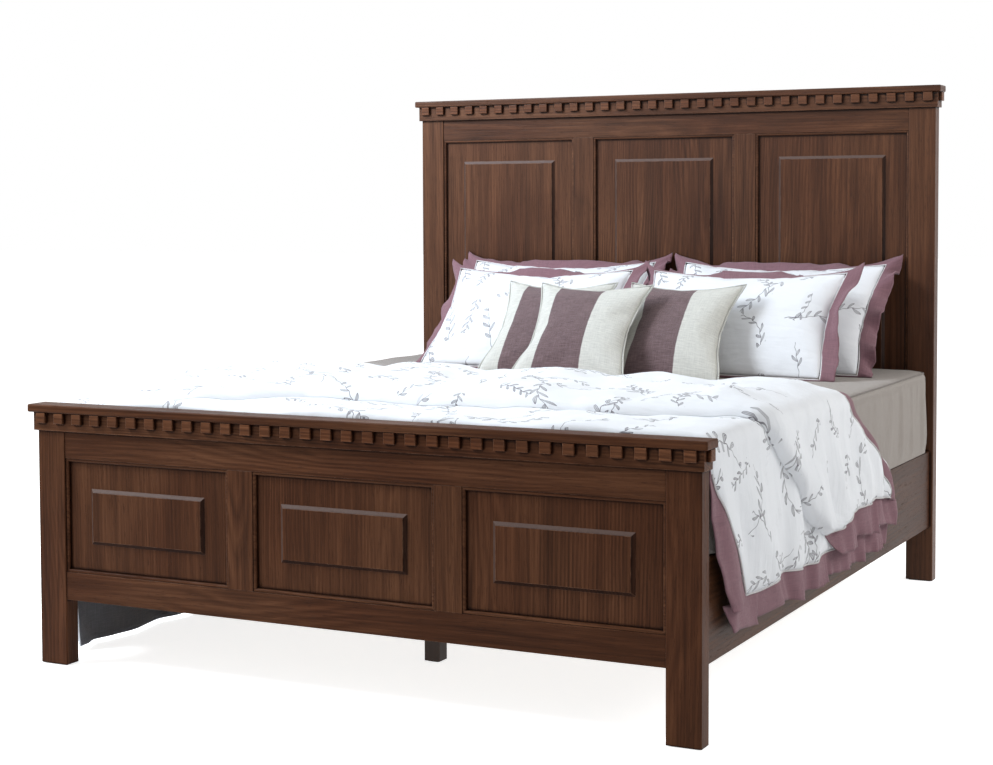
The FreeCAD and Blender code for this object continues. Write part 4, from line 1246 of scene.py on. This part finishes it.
class BED_OT_duvet(bpy.types.Operator):
    """Duvet: the lower layer, the part folded over it, flanges and piping"""

    bl_idname = "panel_bed.duvet"
    bl_label = "Make Duvet"

    def execute(self, context):
        settings = context.scene.bed_bedding
        cotton = printed_cotton("duvet_print", settings)
        mauve = plain_cotton("duvet_flange", tuple(settings.mauve), 0.0014, 0.22)
        cord_white = plain_cotton("duvet_piping", (0.62, 0.60, 0.60))
        self.lower(settings, cotton, mauve, cord_white)
        self.upper(settings, cotton, mauve, cord_white)
        return {"FINISHED"}

    def lower(self, settings, cotton, mauve, cord_white):
        left, right = -BedTop.fall(Duvet.left_hem), BedTop.fall(Duvet.lower_hem)
        seam = BedTop.fall(Duvet.lower_seam)
        s, y = layer_grid(left, seam, Duvet.foot_seam, Duvet.head_edge, settings.cell)
        z = BedTop.height(s)
        front = y - Duvet.foot_seam(s)
        lift = Duvet.lower_lift(s, y)
        wave = Duvet.lower_waves(s, y)
        edge = np.where(z > 0.62, 0.030, 0.050)
        outside = wave + taper(lift - wave, 0.0028, (front + 0.003, edge),
                               (seam - s + 0.001, 0.045),
                               (Duvet.head_edge(s) - y + 0.001, 0.040), (s - left + 0.001, 0.03))
        inside = np.minimum(0.0004 + np.maximum(wave - 0.002, 0), outside - 0.0022)
        hung = sag(s, y, Duvet.lower_shift, seam)
        body, outer = duvet_layer("duvet_lower", hung, y, outside, inside)
        settle(body, "duvet", cotton, ["duvet"])
        # the inside of the lower layer is dark grey: painted shade for the underside of the drape
        # hanging in shadow
        body.data.materials.append(plain_cotton("duvet_lining_painted_shade", (0.20, 0.20, 0.22)))
        cells = (s.shape[0] - 1) * (s.shape[1] - 1)
        for polygon in body.data.polygons[cells:2 * cells]:
            polygon.material_index = 1
        share = np.linspace(0, 1, 11)
        # hem flange, right side, in box folds
        run = np.linspace(0, 1, 230)
        ss = seam + (right - seam) * share[:, None] + 0 * run[None, :]
        low_y = Duvet.foot_edge(ss)
        yy = low_y + (Duvet.head_edge(ss) - low_y) * run[None, :]
        folds = pleats(yy, (-0.700, -0.388, -0.13, 0.16))
        wave = Duvet.lower_waves(ss, yy)
        flutes = 0.003 * (1 + np.sin(math.tau * yy / 0.046 + 2 * ripple(53, yy, 0 * yy, 0.3)))
        flutes = flutes * smooth((yy + 0.40) / 0.15) * share[:, None]
        lift = wave + 0.0006 + (0.0085 * folds + flutes) * (0.25 + 0.75 * share[:, None])
        drop = Duvet.lower_shift(yy) + 0.015 * (folds - 0.4) * share[:, None]
        strip = ribbon("duvet_flange_hem", ss + drop, yy, lift)
        settle(strip, "duvet", mauve)
        right - seam
        # foot flange, right drape, flaring out at the corner
        top_s = BedTop.fall(0.618)
        sv = np.linspace(top_s, seam + 0.010, 110)
        width = (Duvet.foot_seam(sv) + 0.004 - Duvet.foot_edge(sv))[:, None]
        yy = Duvet.foot_edge(sv)[:, None] + width * share[None, :]
        ss = sv[:, None] + 0 * yy
        wave = Duvet.lower_waves(ss, yy)
        flare = 0.020 * smooth((ss - BedTop.fall(0.50)) / 0.25) * (1 - share[None, :]) ** 1.5
        curl = 0.0035 * np.sin(math.tau * ss / 0.17 + 0.7) * (1 - share[None, :])
        strip = ribbon("duvet_flange_foot", ss, yy, wave + 0.0012 + flare + np.abs(curl))
        settle(strip, "duvet", mauve)
        foot = outer[0, np.searchsorted(s[0], top_s):]
        path = np.concatenate([foot, outer[1:, -1]])
        path[:, 0] += 0.0010
        settle(tube("duvet_piping_lower", path, 0.0024), "duvet", cord_white)

    def upper(self, settings, cotton, mauve, cord_white):
        left, right = -BedTop.fall(Duvet.upper_left_hem), BedTop.fall(Duvet.upper_hem)
        seam = BedTop.fall(Duvet.upper_seam)
        s, y = layer_grid(left, seam, Duvet.fold_edge, Duvet.head_seam, settings.cell)
        under = Duvet.lower_lift(s, y)
        waves = Duvet.upper_waves(s, y) * smooth((y - Duvet.fold_edge(s)) / 0.09)
        thick = taper(Duvet.upper_lift(s, y) - waves, 0.0030, (seam - s + 0.001, 0.040),
                      (Duvet.head_seam(s) - y + 0.001, 0.040)) + waves
        thick[0] = 0.0024
        hung = sag(s, y, Duvet.upper_shift, seam)
        body, outer = duvet_layer("duvet_upper", hung, y, under + thick, under + 0.0004)
        settle(body, "duvet", cotton)
        share = np.linspace(0, 1, 11)
        # hem flange in box folds
        run = np.linspace(0, 1, 150)
        ss = seam + (right - seam) * share[:, None] + 0 * run[None, :]
        low_y = Duvet.fold_edge(ss)
        yy = low_y + (Duvet.head_edge(ss) - low_y) * run[None, :]
        folds = pleats(yy, (0.050, 0.275))
        under = Duvet.lower_lift(np.minimum(ss, right), yy)
        lift = under + 0.0006 + Duvet.upper_waves(ss, yy) * share[:, None] * 0.8
        lift = lift + 0.0095 * folds * (0.25 + 0.75 * share[:, None])
        drop = Duvet.upper_shift(yy) * (1 - 0.45 * share[:, None])
        drop = drop + 0.022 * (folds - 0.4) * share[:, None]
        strip = ribbon("duvet_flange_upper_hem", ss + drop, yy, lift)
        settle(strip, "duvet", mauve)
        right - seam
        # head edge flange, from the left side over the top and down the right
        sv = np.linspace(left, seam + 0.004, 360)
        width = (Duvet.head_edge(sv) - Duvet.head_seam(sv))[:, None]
        yy = Duvet.head_seam(sv)[:, None] + width * share[None, :]
        ss = sv[:, None] + 0 * yy
        under = taper(Duvet.lower_lift(ss, yy), 0.0032, (Duvet.head_edge(ss) - yy + 0.001, 0.040))
        waves = Duvet.upper_waves(ss, yy) * (1 - share[None, :] * 0.7)
        hung = sag(ss, yy, Duvet.upper_shift, seam)
        strip = ribbon("duvet_flange_head", hung, yy, under + 0.0008 + waves)
        settle(strip, "duvet", mauve)
        path = np.concatenate([outer[:, -1], outer[-1, ::-1][1:]])
        path = path + np.array([0.0010, 0.0, 0.0006])
        settle(tube("duvet_piping_upper", path, 0.0024), "duvet", cord_white)


class BED_OT_throw_pillows(bpy.types.Operator):
    """Three throw pillows with a broad woven band and piped seams"""

    bl_idname = "panel_bed.throw_pillows"
    bl_label = "Make Throw Pillows"

    def execute(self, context):
        settings = context.scene.bed_bedding
        cloth = banded_weave(settings)
        cord = plain_cotton("throw_piping", tuple(0.8 * c for c in settings.cream))
        for index, node in enumerate(THROWS):
            low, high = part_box(node)
            height = 0.380
            lean = settings.throw_lean
            flat, points, faces, rim = filled(high.x - low.x, height, settings.throw_thickness,
                                              70 + index, pull=0.020)
            placed = stand(points, lean, (low.x + high.x) / 2, low.y + 0.0025 * math.cos(lean),
                           low.z + 0.0025 * math.sin(lean), height)
            body = cushion(node, placed, faces, flat, cloth)
            settle(tube(node + "_piping", placed[rim], 0.0028, closed=True), "mattress",
                   cord)
        return {"FINISHED"}


class BED_OT_shams(bpy.types.Operator):
    """Four flanged shams, two behind and two in front"""

    bl_idname = "panel_bed.shams"
    bl_label = "Make Shams"

    def execute(self, context):
        settings = context.scene.bed_bedding
        cotton = printed_cotton("sham_print", settings)
        mauve = plain_cotton("sham_flange", tuple(settings.mauve), 0.0014, 0.22)
        piping = plain_cotton("sham_piping", (0.74, 0.72, 0.73))
        flange = settings.sham_flange
        sets = ((REAR_SHAMS, 0.520, settings.rear_lean, False),
                (FRONT_SHAMS, 0.475, settings.front_lean, True))
        for nodes, height, lean, turned in sets:
            for index, node in enumerate(nodes):
                low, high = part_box(node)
                width = high.x - low.x
                seed = 80 + 10 * turned + index
                body_width, body_height = width - 2 * flange, height - 2 * flange
                flat, points, faces, rim = filled(body_width, body_height,
                                                  settings.sham_thickness, seed, 0.0145)
                deep = points[:, 2] < 0
                points[deep, 2] *= (height / 2 - 0.006) / (body_height / 2)
                base_y = low.y + 0.002 * math.cos(lean) + 0.036 * turned
                base_z = low.z + 0.002 * math.sin(lean)
                middle = (low.x + high.x) / 2 + 0.018 * turned * (index == 0)
                placed = stand(points, lean, middle, base_y, base_z, height)
                body = cushion(node, placed, faces, flat, cotton)
                grid = seam_flange(width, height, points[rim], flange, seed + 3,
                                   "front" if turned else "rear")
                shape = grid.shape
                grid = stand(grid.reshape(-1, 3), lean, middle, base_y, base_z, height)
                headboard_front = 1.0345
                grid[:, 2] = np.maximum(grid[:, 2], low.z + 0.0022)
                grid[:, 1] = np.minimum(grid[:, 1], headboard_front)
                edge = flange_piece(node + "_flange", grid.reshape(shape))
                settle(edge, "mattress", mauve)
                2 * (body_width + body_height) + 4 * flange
                node + "_cushion"
                settle(tube(node + "_piping", placed[rim], 0.0022, closed=True), "mattress",
                       piping)
        return {"FINISHED"}


class BED_OT_stage(bpy.types.Operator):
    """White floor, soft studio light and the camera"""

    bl_idname = "panel_bed.stage"
    bl_label = "Make Stage"

    def execute(self, context):
        settings = context.scene.bed_stage
        self.camera(settings)
        self.world(settings)
        self.floor()
        key, fill = settings.key_power, settings.fill_power
        for name, place, target, size, power, colour in (
                ("key_light", (-3.3, -2.6, 3.7), (0.0, 0.1, 0.8), 1.8, key, (0.90, 0.95, 1.0)),
                ("fill_light", (3.9, 1.3, 2.7), (0.8, -0.3, 0.5), 2.2, fill, (1.0, 0.99, 0.97)),
                ("window_light", (-1.9, -0.3, 3.0), (-0.3, 1.03, 1.2), 1.2, 0.20 * key,
                 (0.72, 0.84, 1.0)),
                ("top_light", (-0.6, -0.8, 4.4), (0.0, 0.0, 0.5), 3.0, 0.15 * fill,
                 (1.0, 1.0, 1.0))):
            self.lamp(name, place, target, size, power, colour)
        context.scene.view_settings.view_transform = "Standard"
        return {"FINISHED"}

    @staticmethod
    def camera(settings):
        """The camera fitted to the photo, which is 993 pixels wide."""
        yaw, pitch, roll = 0.467170, -0.047793, -0.003438
        ahead = Vector((-math.sin(yaw) * math.cos(pitch), math.cos(yaw) * math.cos(pitch),
                        math.sin(pitch)))
        right = Vector((math.cos(yaw), math.sin(yaw), 0))
        up = right.cross(ahead)
        turned_right = math.cos(roll) * right + math.sin(roll) * up
        turned_up = math.cos(roll) * up - math.sin(roll) * right
        data = bpy.data.cameras.new("camera")
        data.sensor_fit = "HORIZONTAL"
        data.sensor_width = 36.0
        data.lens = settings.focal_length
        data.shift_y = -82.5 / 993
        data.clip_end = 100.0
        viewer = bpy.data.objects.new("camera", data)
        bpy.context.scene.collection.objects.link(viewer)
        columns = turned_right, turned_up, -ahead, Vector((2.36713, -4.91010, 1.19557))
        viewer.matrix_world = Matrix([tuple(row) for row in zip(*columns)] + [(0, 0, 0, 1)])
        bpy.context.scene.camera = viewer

    @staticmethod
    def world(settings):
        world = bpy.data.worlds.new("studio")
        bpy.context.scene.world = world
        world.use_nodes = True
        tree = world.node_tree
        shown = tree.nodes.new("ShaderNodeLightPath")
        seen = tree.nodes.new("ShaderNodeMath")
        seen.operation = "MAXIMUM"
        either = tree.nodes.new("ShaderNodeMath")
        either.operation = "MAXIMUM"
        tree.links.new(shown.outputs["Is Camera Ray"], seen.inputs[0])
        tree.links.new(shown.outputs["Is Glossy Ray"], seen.inputs[1])
        tree.links.new(seen.outputs[0], either.inputs[0])
        tree.links.new(shown.outputs["Is Transmission Ray"], either.inputs[1])
        strength = tree.nodes.new("ShaderNodeMapRange")
        strength.inputs["To Min"].default_value = settings.ambient
        strength.inputs["To Max"].default_value = 1.0
        tree.links.new(either.outputs[0], strength.inputs["Value"])
        background = tree.nodes["Background"]
        background.inputs["Color"].default_value = (1, 1, 1, 1)
        tree.links.new(strength.outputs[0], background.inputs["Strength"])

    @staticmethod
    def floor():
        """White floor whose own glow for the camera lifts it to white and
        leaves a soft shadow."""
        steps = np.linspace(-40.0, 40.0, 9)
        points = [(x, y, 0.0) for y in steps for x in steps]
        ground = new_piece("studio_floor", points, grid_faces(9, 9))
        finish = Finish("studio_white")
        grain = finish.noise(finish.coordinates(), 3.0, 2.0)
        white = finish.ramp(grain, (0.3, (0.86, 0.86, 0.86)), (0.7, (0.88, 0.88, 0.88)))
        finish.set(Base_Color=white,
                   Roughness=0.95, Specular_IOR_Level=0.0)
        path = finish.add("LightPath")
        seen = finish.math("MAXIMUM", path.outputs["Is Camera Ray"], path.outputs["Is Glossy Ray"])
        seen = finish.math("MAXIMUM", seen, path.outputs["Is Transmission Ray"])
        finish.set(Emission_Color=(1, 1, 1, 1))
        finish.set(Emission_Strength=seen * 0.82)
        ground.data.materials.append(finish.material)

    @staticmethod
    def lamp(name, place, target, size, power, colour):
        data = bpy.data.lights.new(name, "AREA")
        data.shape = "DISK"
        data.size = size
        data.energy = power
        data.color = colour
        light = bpy.data.objects.new(name, data)
        bpy.context.scene.collection.objects.link(light)
        light.location = place
        direction = Vector(target) - Vector(place)
        light.rotation_euler = direction.to_track_quat("-Z", "Y").to_euler()


class BED_PT_panel(bpy.types.Panel):
    """Sidebar panel with the bed's steps and settings"""

    bl_label = "Panel Bed"
    bl_idname = "BED_PT_panel"
    bl_space_type = "VIEW_3D"
    bl_region_type = "UI"
    bl_category = "Panel Bed"

    def draw(self, context):
        layout = self.layout
        for operator in OPERATORS:
            layout.operator(operator.bl_idname)
        for owner in ("bed_oak", "bed_bedding", "bed_stage"):
            settings = getattr(context.scene, owner)
            column = layout.column(align=True)
            for name in settings.__annotations__:
                column.prop(settings, name)


OPERATORS = (BED_OT_stage, BED_OT_wood, BED_OT_mattress, BED_OT_duvet,
             BED_OT_throw_pillows, BED_OT_shams)
GROUPS = (("bed_oak", OakSettings), ("bed_bedding", BeddingSettings), ("bed_stage", StageSettings))


def register():
    for name, group in GROUPS:
        bpy.utils.register_class(group)
        setattr(bpy.types.Scene, name, bpy.props.PointerProperty(type=group))
    for operator in OPERATORS:
        bpy.utils.register_class(operator)
    bpy.utils.register_class(BED_PT_panel)


def unregister():
    bpy.utils.unregister_class(BED_PT_panel)
    for operator in reversed(OPERATORS):
        bpy.utils.unregister_class(operator)
    for name, group in reversed(GROUPS):
        delattr(bpy.types.Scene, name)
        bpy.utils.unregister_class(group)


def main():
    register()
    bpy.ops.panel_bed.stage()
    bpy.ops.panel_bed.wood()
    bpy.ops.panel_bed.mattress()
    bpy.ops.panel_bed.duvet()
    bpy.ops.panel_bed.throw_pillows()
    bpy.ops.panel_bed.shams()
    bpy.context.view_layer.update()


if __name__ == "__main__":
    main()
